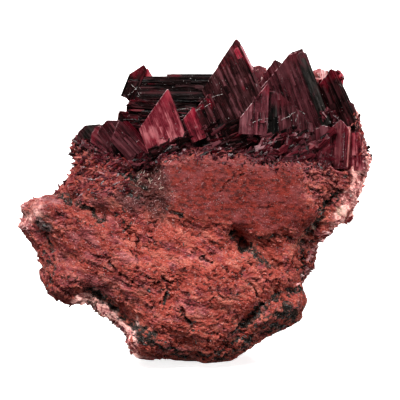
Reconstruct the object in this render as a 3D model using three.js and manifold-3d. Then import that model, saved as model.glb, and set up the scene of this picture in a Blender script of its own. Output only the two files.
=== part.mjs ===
// Erythrite specimen: a broken chip of massive, brick-pink erythrite with dark cobalt ore in its cracks,
// and a pocket along its upper edge from which wine-red erythrite blades grow.
// Millimetres, +Z up, +X to the right of the crystal face, -Y out of that face. The chip stands on the
// flat break under it, and its face leans back a little. The origin is under the middle of its box.
//
// The rock and the crystals are laid out in the frame of the leaning face: across (to the right),
// up (along the face) and out (away from the rock, towards whoever looks at the face).
import * as THREE from "three";
import { ConvexGeometry } from "three/addons/geometries/ConvexGeometry.js";
import { mergeVertices } from "three/addons/utils/BufferGeometryUtils.js";
import Module from "manifold-3d";

const wasm = await Module();
wasm.setup();

const rad = THREE.MathUtils.degToRad;
const { lerp, smoothstep, clamp } = THREE.MathUtils;

// ---------------------------------------------------------------- driving dimensions
const LEAN = rad(15); // how far the crystal face tips back from upright
const FACE_BULGE = 8.2; // the rock's front stands this far out of its widest section
const BACK_BULGE = 13.6; // and its back this far behind
const HEART = [0.4, 17.0]; // across and up of the rock's middle
const SOCKET_GAP = 0.3; // free space between a crystal and the socket that it grows in
const POCKET_DEPTH = 5.0; // the crystal pocket's floor lies this far under the face
const FOOT_DROP = 3.4; // the back's lower part reaches this much lower, to give a broad foot to cut
const SMALLEST_BODY = 0.8; // cubic millimetres: chips below this fall away when sockets are cut
const SIMPLER = 0.03; // edges that matter less than this are taken out of a solid's mesh
const MESH_CELLS = 26; // the rock's face and its back each have this many squares of mesh each way

// ---------------------------------------------------------------- small helpers

/** A point of the leaning face's frame, in the part's frame. */
const stand = (across, up, out) =>
  new THREE.Vector3(
    across,
    up * Math.sin(LEAN) - out * Math.cos(LEAN),
    up * Math.cos(LEAN) + out * Math.sin(LEAN),
  );

/** A repeatable number from 0 to 1 for each set of whole numbers. */
function scatter(i, j = 0, k = 0) {
  const s = Math.sin(i * 127.1 + j * 311.7 + k * 74.7) * 43758.5453;
  return s - Math.floor(s);
}

/** Smooth noise from -1 to 1, with lumps about 1 unit across. */
function lumps(x, y, z) {
  const [i, j, k] = [x, y, z].map(Math.floor);
  const [u, v, w] = [x - i, y - j, z - k].map((t) => t * t * (3 - 2 * t));
  const edge = (b, c) => lerp(scatter(i, j + b, k + c), scatter(i + 1, j + b, k + c), u);
  return 2 * lerp(lerp(edge(0, 0), edge(1, 0), v), lerp(edge(0, 1), edge(1, 1), v), w) - 1;
}

/** How far a point lies above a line that runs from left to right through some points. */
function above(line, across, up) {
  let i = 1;
  while (i < line.length - 1 && line[i][0] < across) i += 1;
  const [[x0, y0], [x1, y1]] = [line[i - 1], line[i]];
  return up - lerp(y0, y1, clamp((across - x0) / (x1 - x0), 0, 1));
}

/** The distance from a point to the nearest stretch of a line through some points. */
function distanceTo(line, across, up) {
  const gaps = line.slice(1).map(([x1, y1], i) => {
    const [x0, y0] = line[i];
    const [dx, dy] = [x1 - x0, y1 - y0];
    const t = clamp(((across - x0) * dx + (up - y0) * dy) / (dx * dx + dy * dy), 0, 1);
    return Math.hypot(across - x0 - t * dx, up - y0 - t * dy);
  });
  return Math.min(...gaps);
}

/** How far a point lies inside a closed outline; negative outside it. */
function inside(outline, across, up) {
  let within = false;
  outline.forEach(([x1, y1], i) => {
    const [x0, y0] = outline.at(i - 1);
    if (y0 > up !== y1 > up && across < ((x1 - x0) * (up - y0)) / (y1 - y0) + x0) within = !within;
  });
  const edge = distanceTo([...outline, outline[0]], across, up);
  return within ? edge : -edge;
}

/** A closed geometry as a solid that can be joined and cut. */
function solidOf(geometry) {
  const bare = geometry.clone();
  ["normal", "uv"].forEach((name) => bare.deleteAttribute(name));
  const merged = mergeVertices(bare, 1e-4);
  return new wasm.Manifold(
    new wasm.Mesh({
      numProp: 3,
      vertProperties: new Float32Array(merged.attributes.position.array),
      triVerts: new Uint32Array(merged.index.array),
    }),
  );
}

/** A solid as a three.js geometry. */
function geometryOf(solid) {
  const mesh = solid.getMesh();
  return new THREE.BufferGeometry()
    .setAttribute("position", new THREE.BufferAttribute(mesh.vertProperties, 3))
    .setIndex(new THREE.BufferAttribute(mesh.triVerts, 1));
}

// ---------------------------------------------------------------- the rock

// The rock's widest section, across and up, anticlockwise from its right side.
const OUTLINE = [
  // right side, up to the pocket
  [19.0, 18.7], [19.8, 20.9], [20.4, 22.9], [21.1, 24.5], [20.6, 25.3], [20.1, 27.0], [19.9, 28.8],
  [19.5, 30.3], [18.3, 31.8], [16.9, 32.6],
  // crest behind the crystals
  [15.0, 33.0], [12.4, 33.4], [9.4, 34.0], [7.3, 34.8], [5.2, 33.9], [2.2, 33.4], [-0.2, 32.8],
  [-3.2, 32.2], [-5.6, 31.6], [-7.4, 30.8], [-9.0, 29.6], [-10.2, 28.6], [-11.9, 28.1], [-13.7, 28.0],
  // left side, down past the spur
  [-14.9, 27.4], [-15.0, 25.7], [-14.8, 24.2], [-15.5, 22.4], [-17.3, 20.4], [-19.7, 19.9],
  [-21.2, 18.8], [-20.9, 17.6], [-21.5, 16.6], [-19.4, 13.9], [-19.3, 12.8], [-18.5, 11.6],
  [-18.7, 10.4], [-18.0, 8.3], [-15.5, 7.0], [-13.1, 7.3],
  // lower left edge and the foot
  [-11.3, 5.5], [-9.6, 4.7], [-8.3, 3.2], [-8.3, 2.0], [-7.2, 0.8], [-4.4, 0.6], [0.0, 0.6], [0.7, 0.0],
  [4.3, 0.5], [5.2, 1.4],
  // lower right edge
  [7.2, 2.6], [10.3, 4.1], [12.6, 5.5], [13.2, 8.0], [12.7, 9.7], [14.0, 12.1], [14.4, 14.5],
  [16.3, 15.7], [16.9, 16.9], [18.4, 17.0],
];

// The brow: above this line the face drops into the pocket.
const BROW = [
  [-15.5, 27.4], [-12.6, 26.2], [-10.1, 24.6], [-6.8, 23.6], [-5.4, 25.0], [-1.4, 25.6], [2.2, 25.8],
  [5.2, 25.3], [8.8, 24.6], [12.4, 24.8], [16.0, 24.2], [18.2, 24.6], [21.5, 26.5],
];
const BROW_EASE = 0.9; // the drop from the brow to the pocket floor takes this much of the face

// Smooth plate of rock that stands proud of the rougher break round it.
const SMOOTH_PLATE = [
  [-4.2, 24.0], [1.0, 25.3], [8.8, 24.4], [12.2, 23.9], [12.4, 19.9], [14.4, 18.4], [14.3, 16.8],
  [12.4, 15.9], [6.6, 15.3], [4.4, 16.4], [-1.2, 17.2], [-4.0, 17.6],
];
const PLATE_RISE = 1.0;

// Lumps that stand out of the face, each with its middle, half sizes, turn in degrees and height.
const FACE_LUMPS = [
  { at: [9.6, 5.6], size: [4.8, 2.6], turn: 32, height: 1.8 }, // dark lobe at the lower right
  { at: [-19.0, 18.6], size: [3.2, 1.7], turn: 8, height: 1.3 }, // spur at the left
  { at: [-17.2, 10.2], size: [2.0, 2.8], turn: 10, height: 1.2 }, // knob under the spur
  { at: [-5.4, 2.4], size: [3.6, 1.7], turn: -25, height: 1.6 }, // lip at the foot
  { at: [-13.0, 20.6], size: [3.4, 1.7], turn: -12, height: 1.0 },
  { at: [-8.0, 12.5], size: [4.4, 2.4], turn: -20, height: 1.1 },
  { at: [1.2, 9.4], size: [4.7, 2.2], turn: 12, height: 0.9 },
  { at: [-2.2, 5.8], size: [3.4, 1.8], turn: 24, height: 0.8 },
  { at: [17.6, 20.4], size: [1.7, 3.6], turn: -16, height: 1.0 }, // fringe down the right side
  { at: [15.2, 16.8], size: [1.6, 1.8], turn: -30, height: 0.8 },
];

// Pits and cracks in the face, each a line with a half width and a depth.
const FACE_CRACKS = [
  { line: [[4.4, 15.4], [5.4, 14.2]], half: 1.1, depth: 2.2 }, // pit under the plate's corner
  { line: [[5.8, 15.0], [7.6, 14.2], [8.8, 12.2], [10.4, 11.2]], half: 0.75, depth: 1.3 },
  { line: [[14.9, 17.2], [13.2, 15.6], [12.2, 13.4], [12.9, 11.2]], half: 0.9, depth: 1.6 },
  { line: [[13.4, 9.0], [9.4, 8.2], [6.0, 5.2], [3.4, 2.6]], half: 0.8, depth: 1.5 }, // round the lobe
  { line: [[-20.6, 16.9], [-18.2, 15.0], [-15.6, 12.2]], half: 0.9, depth: 1.6 }, // under the spur
  { line: [[-18.4, 14.6], [-17.8, 12.6]], half: 0.8, depth: 1.0 },
  { line: [[-13.6, 8.6], [-10.4, 7.4], [-7.2, 4.6], [-5.8, 3.6]], half: 0.9, depth: 1.7 }, // lower left
  { line: [[-7.4, 15.2], [-7.0, 12.6]], half: 0.8, depth: 1.2 },
  { line: [[-4.2, 9.9], [-3.2, 9.4], [-3.5, 7.7]], half: 0.65, depth: 1.1 },
  { line: [[-4.6, 23.2], [-5.8, 20.6], [-3.8, 18.4]], half: 0.9, depth: 1.0 }, // left of the plate
  { line: [[-17.0, 20.2], [-13.0, 18.4], [-9.8, 17.4]], half: 0.8, depth: 1.2 },
  { line: [[-11.0, 24.2], [-7.6, 22.4], [-5.2, 22.7]], half: 0.9, depth: 1.4 }, // under the left blade
  { line: [[17.0, 24.2], [16.4, 20.4], [15.4, 18.2]], half: 0.8, depth: 1.1 },
];

// Flat breaks of the back and sides: a normal (across, up, out) and its distance from the heart.
const BREAKS = [
  { normal: [0.12, 0.1, -1], reach: 11.4 },
  { normal: [0.8, 0.05, -0.6], reach: 14.0 },
  { normal: [-0.72, 0.2, -0.66], reach: 13.6 },
  { normal: [0.15, 0.82, -0.55], reach: 13.8 },
  { normal: [-0.55, -0.62, -0.56], reach: 13.2 },
  { normal: [0.6, -0.6, -0.53], reach: 13.8 },
  { normal: [-0.3, 0.75, -0.6], reach: 13.0 },
].map(({ normal, reach }) => ({ normal: new THREE.Vector3(...normal).normalize(), reach }));
const BREAK_SHARPNESS = 0.92; // 1 is dead flat

/** What the lumps, the plate, the cracks and the pocket add to the face at one place. */
function faceRelief(across, up) {
  let height = PLATE_RISE * smoothstep(inside(SMOOTH_PLATE, across, up), -0.4, 0.4);
  for (const { at, size, turn, height: rise } of FACE_LUMPS) {
    const [x, y] = [across - at[0], up - at[1]];
    const [c, s] = [Math.cos(rad(turn)), Math.sin(rad(turn))];
    const far = Math.hypot((x * c + y * s) / size[0], (y * c - x * s) / size[1]);
    height += rise * (1 - smoothstep(far, 0.35, 1.15));
  }
  for (const { line, half, depth } of FACE_CRACKS) {
    height -= depth * (1 - smoothstep(distanceTo(line, across, up), half * 0.3, half * 1.5));
  }
  return height - POCKET_DEPTH * smoothstep(above(BROW, across, up), 0, BROW_EASE);
}

/** Slanting flakes of the broken face, so that it isn't smooth between its larger forms. */
function flakes(across, up) {
  const rough = inside(SMOOTH_PLATE, across, up) > 0 ? 0.35 : 1;
  const coarse = lumps(across / 3.4, up / 2.2, 1);
  const fine = lumps((across + 0.4 * up) / 2.1, (up - 0.3 * across) / 1.1, 5);
  return rough * (0.45 * coarse + 0.4 * fine);
}

const MIDDLE = new THREE.Vector3(...HEART, 0);

/** Cuts a point of the rock back to its flat breaks. */
function breakFlat(point) {
  for (const { normal, reach } of BREAKS) {
    const over = point.clone().sub(MIDDLE).dot(normal) - reach;
    if (over > 0) point.addScaledVector(normal, -over * BREAK_SHARPNESS);
  }
  return point;
}

/** One point of the face, share of the way from the heart to the rim. */
function facePoint(rim, share) {
  const across = lerp(HEART[0], rim[0], share);
  const up = lerp(HEART[1], rim[1], share);
  const fade = 1 - smoothstep(share, 0.86, 1);
  const dome = FACE_BULGE * Math.sqrt(1 - share ** 4);
  const out = dome + fade * (faceRelief(across, up) + flakes(across, up));
  return new THREE.Vector3(across, up, Math.max(out, -1));
}

/** One point of the back and sides, share of the way from the heart to the rim. */
function backPoint(rim, share) {
  const dome = BACK_BULGE * (1 - share ** 3.4) ** 0.5;
  const free = 1 - smoothstep(share, 0.94, 1); // 0 at the rim, which stays where the outline is
  const across = lerp(HEART[0], rim[0], share);
  const up = lerp(HEART[1], rim[1], share);
  const point = breakFlat(new THREE.Vector3(across, up, -dome));
  const { x, y, z } = point;
  const broad = lumps(x / 3.7, y / 3.7, z / 3.7 + 9);
  const rough = broad + 0.6 * lumps(x / 2.1, (y + 0.5 * x) / 1.5, z / 2.1);
  const outward = point.clone().sub(MIDDLE).normalize();
  point.addScaledVector(outward, free * (rough - 0.6));
  point.y -= FOOT_DROP * free * (1 - smoothstep(up, 2.5, 9));
  return point;
}

/** The outline cut into so many stretches, the longest ones first, with every corner kept. */
function rimPoints(count) {
  const stretches = OUTLINE.map((from, i) => {
    const to = OUTLINE[(i + 1) % OUTLINE.length];
    return { from, to, length: Math.hypot(to[0] - from[0], to[1] - from[1]), pieces: 1 };
  });
  for (let made = stretches.length; made < count; made += 1) {
    stretches.reduce((a, b) => (a.length / a.pieces > b.length / b.pieces ? a : b)).pieces += 1;
  }
  return stretches.flatMap(({ from, to, pieces }) =>
    Array.from({ length: pieces }, (_, k) => [
      lerp(from[0], to[0], k / pieces),
      lerp(from[1], to[1], k / pieces),
    ]),
  );
}

/** Where a place on a square, from -1 to 1 each way, lies: its ring and the rim point it looks at. */
function squareToRim(x, y, rim) {
  const ring = Math.max(Math.abs(x), Math.abs(y));
  if (ring === 0) return { ring, toward: rim[0] };
  const [u, v] = [x / ring, y / ring];
  let quarter = [3, u];
  if (u >= 1) quarter = [0, v];
  else if (v >= 1) quarter = [1, -u];
  else if (u <= -1) quarter = [2, -v];
  const place = ((quarter[0] + (quarter[1] + 1) / 2) / 4) * rim.length;
  const i = Math.floor(place) % rim.length;
  const [a, b] = [rim[i], rim[(i + 1) % rim.length]];
  const t = place - Math.floor(place);
  return { ring, toward: [lerp(a[0], b[0], t), lerp(a[1], b[1], t)] };
}

const CAP_SHARE = 0.8; // the square mesh covers this share of the way to the rim
const RIM_BANDS = [
  [0.865, 1], [0.92, 1], [0.965, 1], [1, 1], [0.965, -1], [0.9, -1],
];

/** The rock before its foot is cut flat and its sockets are sunk. */
function rawRock() {
  const n = MESH_CELLS;
  const rim = rimPoints(4 * n);
  const turn = Math.round(rim.length / 8); // the square's first corner looks down and to the right
  rim.unshift(...rim.splice(-turn));
  const points = [];
  const grids = [1, -1].map((side) =>
    Array.from({ length: n + 1 }, (_, j) =>
      Array.from({ length: n + 1 }, (_, i) => {
        const inner = i > 0 && j > 0 && i < n && j < n;
        const [di, dj] = [1, 2].map((k) => (inner ? 0.5 * (scatter(i, j, k * side) - 0.5) : 0));
        const { ring, toward } = squareToRim((2 * (i + di)) / n - 1, (2 * (j + dj)) / n - 1, rim);
        points.push((side > 0 ? facePoint : backPoint)(toward, CAP_SHARE * ring));
        return points.length - 1;
      }),
    ),
  );
  /** The mesh points round the edge of a grid, in the order of the rim. */
  const edgeOf = (grid) => [
    ...Array.from({ length: n }, (_, k) => grid[k][n]),
    ...Array.from({ length: n }, (_, k) => grid[n][n - k]),
    ...Array.from({ length: n }, (_, k) => grid[n - k][0]),
    ...Array.from({ length: n }, (_, k) => grid[0][k]),
  ];
  const bands = RIM_BANDS.map(([share, side]) =>
    rim.map((toward) => points.push((side > 0 ? facePoint : backPoint)(toward, share)) - 1),
  );
  const loops = [edgeOf(grids[0]), ...bands, edgeOf(grids[1])];
  const faces = [];
  /** A square of mesh, cut along the shorter way across. */
  const quad = (a, b, c, d) => {
    const short = points[a].distanceTo(points[c]) < points[b].distanceTo(points[d]);
    faces.push(...(short ? [a, b, c, a, c, d] : [a, b, d, b, c, d]));
  };
  for (let j = 0; j < n; j += 1) {
    for (let i = 0; i < n; i += 1) {
      const [front, back] = grids;
      quad(front[j][i], front[j][i + 1], front[j + 1][i + 1], front[j + 1][i]);
      quad(back[j][i], back[j + 1][i], back[j + 1][i + 1], back[j][i + 1]);
    }
  }
  for (let r = 0; r < loops.length - 1; r += 1) {
    for (let i = 0; i < rim.length; i += 1) {
      const next = (i + 1) % rim.length;
      quad(loops[r][i], loops[r + 1][i], loops[r + 1][next], loops[r][next]);
    }
  }
  const stood = points.map((p) => stand(p.x, p.y, p.z));
  return new THREE.BufferGeometry().setFromPoints(stood).setIndex(faces);
}

// ---------------------------------------------------------------- the crystals

// A crystal is a bundle of columns along its growth direction, as a striated blade is.
//   tip     across, up and out of its highest point, on its front
//   tilt    degrees that the growth direction leans to the left of up
//   turn    degrees that the blade is turned about its growth, to show its right side
//   left, right    how far the blade spreads to each side of the tip
//   cutLeft, cutRight    degrees that the end faces fall away from square, on each side
//   rear    how far the end face rises towards the back, as a share of the depth
//   length, depth    from tip to root, and from front to back
//   ribs    number of columns, and step, how unequal they are
const DEFAULTS = {
  turn: 10, left: 0, right: 0, cutLeft: 32, cutRight: 50, rear: -0.3, ribs: 3, step: 0.3, blunt: 0.15,
};
const CHAMFER = 0.2; // narrow face between a column's front and its end

/** From a crystal's own frame (across its front, out of its front, along its growth) to the part's. */
function standing({ tip, tilt, turn }) {
  const [t, q] = [rad(tilt), rad(turn)];
  const growth = new THREE.Vector3(-Math.sin(t), Math.cos(t), 0);
  const side = new THREE.Vector3(Math.cos(t) * Math.cos(q), Math.sin(t) * Math.cos(q), Math.sin(q));
  const front = side.clone().cross(growth);
  const face = new THREE.Matrix4().makeBasis(side, growth, front).setPosition(...tip);
  const upright = new THREE.Matrix4().makeBasis(stand(1, 0, 0), stand(0, 1, 0), stand(0, 0, 1));
  return upright.multiply(face);
}

/** The corners of each column of a crystal, in its own frame. */
function columnCorners(spec, seed, grow) {
  const end = (a) => -Math.abs(a) * Math.tan(rad(a < 0 ? spec.cutLeft : spec.cutRight));
  const width = spec.left + spec.right;
  const edges = Array.from({ length: spec.ribs + 1 }, (_, i) => {
    const nudge = i > 0 && i < spec.ribs ? 0.5 * (scatter(seed, i) - 0.5) : 0;
    return -spec.left + (width * (i + nudge)) / spec.ribs;
  });
  if (spec.left > 0 && spec.right > 0) {
    edges[clamp(Math.round((spec.left / width) * spec.ribs), 1, spec.ribs - 1)] = 0;
  }
  return edges.slice(1).map((a1, i) => {
    const a0 = edges[i];
    const fore = -spec.step * scatter(seed, i, 1) + grow;
    const aft = -spec.depth + spec.step * scatter(seed, i, 2) - grow;
    const drop = spec.step * 0.8 * scatter(seed, i, 3);
    return [[a0 - grow, a0], [a1 + grow, a1]].flatMap(([a, at]) => {
      const level = Math.max(Math.min(end(at) - drop, -spec.blunt), 0.4 - spec.length) + 1.5 * grow;
      return [
        [a, -spec.length - grow, fore],
        [a, -spec.length - grow, aft],
        [a, level - CHAMFER, fore],
        [a, level, fore - CHAMFER],
        [a, level + spec.rear * spec.depth, aft],
      ];
    });
  });
}

/** The smallest solid without hollows round some corners. */
const hullOf = (corners) => solidOf(new ConvexGeometry(corners.map((p) => new THREE.Vector3(...p))));

/** One crystal, or, grown by the socket gap, the plain socket that it stands in. */
function crystal(shape, seed, grow) {
  const spec = { ...DEFAULTS, ...shape };
  const corners = columnCorners(spec, seed, grow);
  const solid = grow > 0 ? hullOf(corners.flat()) : wasm.Manifold.union(corners.map(hullOf));
  return solid.transform(standing(spec).elements);
}

// Every crystal node, foremost first: a later one is cut back from those before it.
const CRYSTALS = {
  front_left_blade: {
    colour: 0x9a4450,
    shapes: [
      {
        tip: [-3.6, 33.0, 8.0], tilt: 22, turn: 5, left: 4.9, cutLeft: 33,
        length: 7.0, depth: 1.5, ribs: 4, step: 0.16,
      },
      {
        tip: [-1.5, 26.5, 7.9], tilt: -76, turn: -4, left: 0.3, right: 0.9, cutLeft: 20, cutRight: 30,
        length: 4.4, depth: 2.2, ribs: 3, step: 0.4,
      },
    ],
  },
  left_plate: {
    colour: 0x4d1f28,
    shapes: [
      {
        tip: [-9.4, 29.2, 6.9], tilt: 42, turn: 14, left: 2.4, cutLeft: 26,
        length: 6.0, depth: 1.4, ribs: 3, step: 0.15,
      },
      {
        tip: [-8.9, 29.3, 6.1], tilt: 42, turn: 14, left: 1.6, cutLeft: 30,
        length: 5.6, depth: 1.8, ribs: 2, step: 0.2,
      },
    ],
  },
  right_low_blades: {
    colour: 0x7c2a30,
    shapes: [
      {
        tip: [17.2, 29.4, 5.7], tilt: -3, turn: 20, left: 1.2, right: 0.9, cutLeft: 40, cutRight: 48,
        length: 6.0, depth: 2.2, ribs: 3,
      },
      {
        tip: [18.9, 28.2, 4.6], tilt: 2, turn: 24, left: 0.8, right: 0.4,
        length: 5.0, depth: 2.4, ribs: 2,
      },
    ],
  },
  broken_crystals: {
    colour: 0x5e2430,
    shapes: [
      {
        tip: [13.4, 28.2, 6.6], tilt: -62, turn: 6, left: 1.1, right: 1.2,
        length: 8.4, depth: 2.6, ribs: 3, step: 0.5,
      },
      {
        tip: [9.6, 27.6, 7.0], tilt: -28, turn: 4, left: 1.4, right: 0.9,
        length: 3.6, depth: 2.4, ribs: 3,
      },
      {
        tip: [12.2, 28.3, 6.8], tilt: 14, turn: 14, left: 1.3, right: 1.0,
        length: 4.3, depth: 2.6, ribs: 2,
      },
    ],
  },
  mauve_block: {
    colour: 0x5a3440,
    shapes: [
      {
        tip: [15.2, 28.8, 6.3], tilt: 4, turn: 12, left: 1.2, right: 0.5, cutLeft: 12, cutRight: 20,
        length: 4.8, depth: 2.6, ribs: 3, step: 0.2,
      },
    ],
  },
  front_right_blade: {
    colour: 0x6a2a35,
    shapes: [
      {
        tip: [8.4, 33.6, 6.7], tilt: -3, turn: -8, left: 3.0, right: 0.3, cutLeft: 54, cutRight: 60,
        length: 6.2, depth: 1.3, ribs: 3, step: 0.1,
      },
      {
        tip: [9.0, 32.8, 5.9], tilt: -1, turn: 6, left: 0.7, right: 1.0, cutLeft: 20, cutRight: 30,
        length: 6.0, depth: 1.4, ribs: 2, step: 0.2,
      },
      {
        tip: [9.7, 32.5, 6.5], tilt: 4, turn: 5, left: 0.3, right: 3.8, cutLeft: 40, cutRight: 45,
        length: 5.0, depth: 1.5, ribs: 4, step: 0.14,
      },
    ],
  },
  central_spire: {
    colour: 0x4a1a24,
    shapes: [
      {
        tip: [4.6, 39.1, 5.6], tilt: 25, turn: 8, left: 6.4, cutLeft: 32,
        length: 13.4, depth: 1.8, ribs: 6, step: 0.3,
      },
      {
        tip: [1.4, 32.6, 6.1], tilt: 24, turn: 8, left: 4.4, cutLeft: 25,
        length: 6.0, depth: 1.8, ribs: 3, step: 0.3,
      },
      {
        tip: [5.6, 35.6, 4.7], tilt: 26, turn: 12, left: 2.2, cutLeft: 30,
        length: 9.4, depth: 2.4, ribs: 3, step: 0.3,
      },
    ],
  },
  right_spire: {
    colour: 0x4a1c26,
    shapes: [
      {
        tip: [11.8, 38.1, 5.0], tilt: 20, turn: 18, left: 6.6, cutLeft: 29,
        length: 11.6, depth: 2.2, rear: 0.1, ribs: 5, step: 0.2, blunt: 0.7,
      },
      {
        tip: [12.4, 36.9, 4.3], tilt: 19, turn: 22, left: 1.8, cutLeft: 25,
        length: 10.4, depth: 2.0, rear: 0.1, ribs: 3, step: 0.35,
      },
      {
        tip: [13.6, 34.2, 4.2], tilt: 20, turn: 24, left: 1.6, cutLeft: 30,
        length: 8.0, depth: 2.2, ribs: 2, step: 0.4,
      },
    ],
  },
  pocket_plates: {
    colour: 0x2a0c12,
    shapes: [
      {
        tip: [8.6, 29.0, 6.0], tilt: -68, turn: -6, left: 1.7, right: 1.6, cutLeft: 30, cutRight: 30,
        length: 8.6, depth: 4.0, ribs: 5, step: 0.6,
      },
    ],
  },
  back_left_prism: {
    colour: 0x35131b,
    shapes: [
      {
        tip: [-8.9, 32.3, 4.2], tilt: 90, turn: 2, left: 0.9, right: 2.1, cutLeft: 42, cutRight: 23,
        length: 11.6, depth: 3.4, ribs: 5, step: 0.32,
      },
      {
        tip: [-6.3, 35.95, 4.3], tilt: -22, turn: 6, left: 1.2, right: 0.5, cutLeft: 55, cutRight: 38,
        length: 4.6, depth: 2.6, ribs: 2, step: 0.12, blunt: 0.1,
      },
      {
        tip: [-5.9, 35.55, 3.7], tilt: -22, turn: 6, left: 0.3, right: 0.9, cutLeft: 20, cutRight: 38,
        length: 3.6, depth: 2.2, ribs: 2, step: 0.12, blunt: 0.1,
      },
      {
        tip: [-8.7, 30.8, 4.8], tilt: 86, turn: 3, left: 2.4, right: 0.9, cutLeft: 20, cutRight: 34,
        length: 8.6, depth: 3.2, ribs: 5, step: 0.5,
      },
      {
        tip: [-3.9, 34.6, 3.4], tilt: 90, turn: 2, left: 2.4, right: 0.1, cutLeft: 15, cutRight: 20,
        length: 6.2, depth: 2.6, ribs: 3, step: 0.2,
      },
    ],
  },
  behind_spire: {
    colour: 0x51202a,
    shapes: [
      {
        tip: [9.2, 36.7, 2.6], tilt: 24, turn: 16, left: 4.6, cutLeft: 33,
        length: 8.6, depth: 2.4, ribs: 4,
      },
      {
        tip: [10.2, 35.8, 1.9], tilt: 20, turn: 16, left: 1.8, cutLeft: 30,
        length: 7.0, depth: 2.0, ribs: 2,
      },
    ],
  },
  right_small_spire: {
    colour: 0x3a151d,
    shapes: [
      {
        tip: [15.9, 35.6, 3.4], tilt: 24, turn: 16, left: 2.6, cutLeft: 30,
        length: 7.6, depth: 2.2, ribs: 4,
      },
      {
        tip: [16.9, 33.4, 2.9], tilt: 24, turn: 18, left: 1.8, cutLeft: 36,
        length: 5.6, depth: 2.2, ribs: 3, step: 0.35,
      },
      {
        tip: [17.9, 31.9, 2.6], tilt: 17, turn: 18, left: 1.7, cutLeft: 36,
        length: 4.4, depth: 2.2, ribs: 2,
      },
    ],
  },
  upper_left_crystals: {
    colour: 0x3d1a20,
    shapes: [
      {
        tip: [-9.5, 30.4, 3.3], tilt: 46, turn: 8, left: 1.3, right: 1.3, cutLeft: 36,
        length: 5.0, depth: 2.6, ribs: 3, step: 0.2,
      },
      {
        tip: [-11.3, 29.3, 4.2], tilt: 34, turn: 6, left: 1.4, right: 1.6, cutLeft: 30, cutRight: 35,
        length: 4.4, depth: 2.6, ribs: 3, blunt: 0.3,
      },
      {
        tip: [-14.0, 28.6, 3.2], tilt: 40, turn: 10, left: 1.2, right: 1.9, cutLeft: 26, cutRight: 34,
        length: 3.8, depth: 2.4, ribs: 3, blunt: 0.3,
      },
      {
        tip: [-12.7, 28.4, 3.8], tilt: 52, turn: 0, left: 1.4, right: 1.2, cutLeft: 30, cutRight: 38,
        length: 3.6, depth: 2.4, ribs: 2, blunt: 0.3,
      },
    ],
  },
  rear_right_druse: {
    colour: 0xa83e52,
    shapes: [
      {
        tip: [17.0, 35.5, 1.5], tilt: -8, turn: -8, left: 1.1, right: 0.8, cutLeft: 24, cutRight: 44,
        length: 4.0, depth: 1.6, ribs: 3, step: 0.4, blunt: 0.2,
      },
      {
        tip: [14.3, 35.7, 1.0], tilt: 12, turn: 10, left: 0.9, right: 1.0, cutLeft: 26, cutRight: 30,
        length: 3.6, depth: 1.8, ribs: 3, step: 0.3, blunt: 0.2,
      },
      {
        tip: [15.6, 34.2, 0.9], tilt: -10, turn: 4, left: 1.6, right: 1.4, cutLeft: 25, cutRight: 30,
        length: 3.2, depth: 2.4, ribs: 2, step: 0.4,
      },
    ],
  },
  rear_crest_crystals: {
    colour: 0x6e2834,
    shapes: [
      {
        tip: [7.2, 36.2, 0.4], tilt: 4, turn: -6, left: 1.3, right: 1.1, cutLeft: 24, cutRight: 26,
        length: 4.0, depth: 2.6, ribs: 3, step: 0.4,
      },
      {
        tip: [4.6, 35.8, -1.8], tilt: 20, turn: 10, left: 2.0, right: 0.6, cutLeft: 34,
        length: 5.0, depth: 2.4, ribs: 3,
      },
      {
        tip: [6.6, 34.9, -1.2], tilt: -8, turn: 4, left: 2.6, right: 2.6, cutLeft: 20, cutRight: 22,
        length: 4.0, depth: 2.4, ribs: 3,
      },
      {
        tip: [9.6, 35.4, -2.2], tilt: -14, turn: -12, left: 1.3, right: 1.4, cutLeft: 34, cutRight: 36,
        length: 4.8, depth: 2.6, ribs: 3,
      },
    ],
  },
};

/** All the crystals of a node, joined, or their sockets, joined. */
function bundle(name, grow) {
  const node = Object.keys(CRYSTALS).indexOf(name);
  return wasm.Manifold.union(
    CRYSTALS[name].shapes.map((shape, i) => crystal(shape, 1 + node * 17 + i * 5, grow)),
  );
}

// ---------------------------------------------------------------- assembly

const part = new THREE.Group();
part.name = "erythrite_specimen";

function addMesh(name, solid, colour, roughness) {
  const material = new THREE.MeshStandardMaterial({ color: colour, roughness, metalness: 0 });
  const mesh = new THREE.Mesh(geometryOf(solid), material);
  mesh.name = name;
  part.add(mesh);
}

/** The separate bodies of a solid, largest first, without the loose chips. */
const bodiesOf = (solid) =>
  solid
    .decompose()
    .filter((body) => body.volume() > SMALLEST_BODY)
    .sort((a, b) => b.volume() - a.volume());

const sockets = [];
for (const [name, { colour }] of Object.entries(CRYSTALS)) {
  const own = sockets.reduce((solid, socket) => solid.subtract(socket), bundle(name, 0));
  const bodies = bodiesOf(own.simplify(SIMPLER));
  bodies.forEach((body, i) => {
    addMesh(bodies.length > 1 ? `${name}_${i + 1}` : name, body, colour, 0.25);
  });
  sockets.push(bundle(name, SOCKET_GAP));
}

const underfoot = solidOf(new THREE.BoxGeometry(100, 100, 40).translate(0, 0, -20));
const rock = solidOf(rawRock()).subtract(underfoot).subtract(wasm.Manifold.union(sockets));
addMesh("matrix", bodiesOf(rock.simplify(SIMPLER))[0], 0x9a4a42, 0.85);

// The origin goes under the middle of the whole.
const bounds = new THREE.Box3().setFromObject(part);
const middle = bounds.getCenter(new THREE.Vector3());
part.position.set(-middle.x, -middle.y, -bounds.min.z);

export default part;
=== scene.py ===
"""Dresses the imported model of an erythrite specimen: a broken chip of massive, brick-pink erythrite with a
pocket of wine-red blades along its upper edge.

Places on the specimen are given in the frame of its leaning face, in millimetres: across (to the right), up
(along the face) and out (away from the rock). Everything that Blender holds is in metres.
"""

import logging
import math
from collections.abc import Iterable
from dataclasses import dataclass, field
from enum import Enum
from typing import Union

import bmesh
import bpy
import numpy as np
from mathutils import Matrix, Vector
from mathutils.bvhtree import BVHTree


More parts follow.
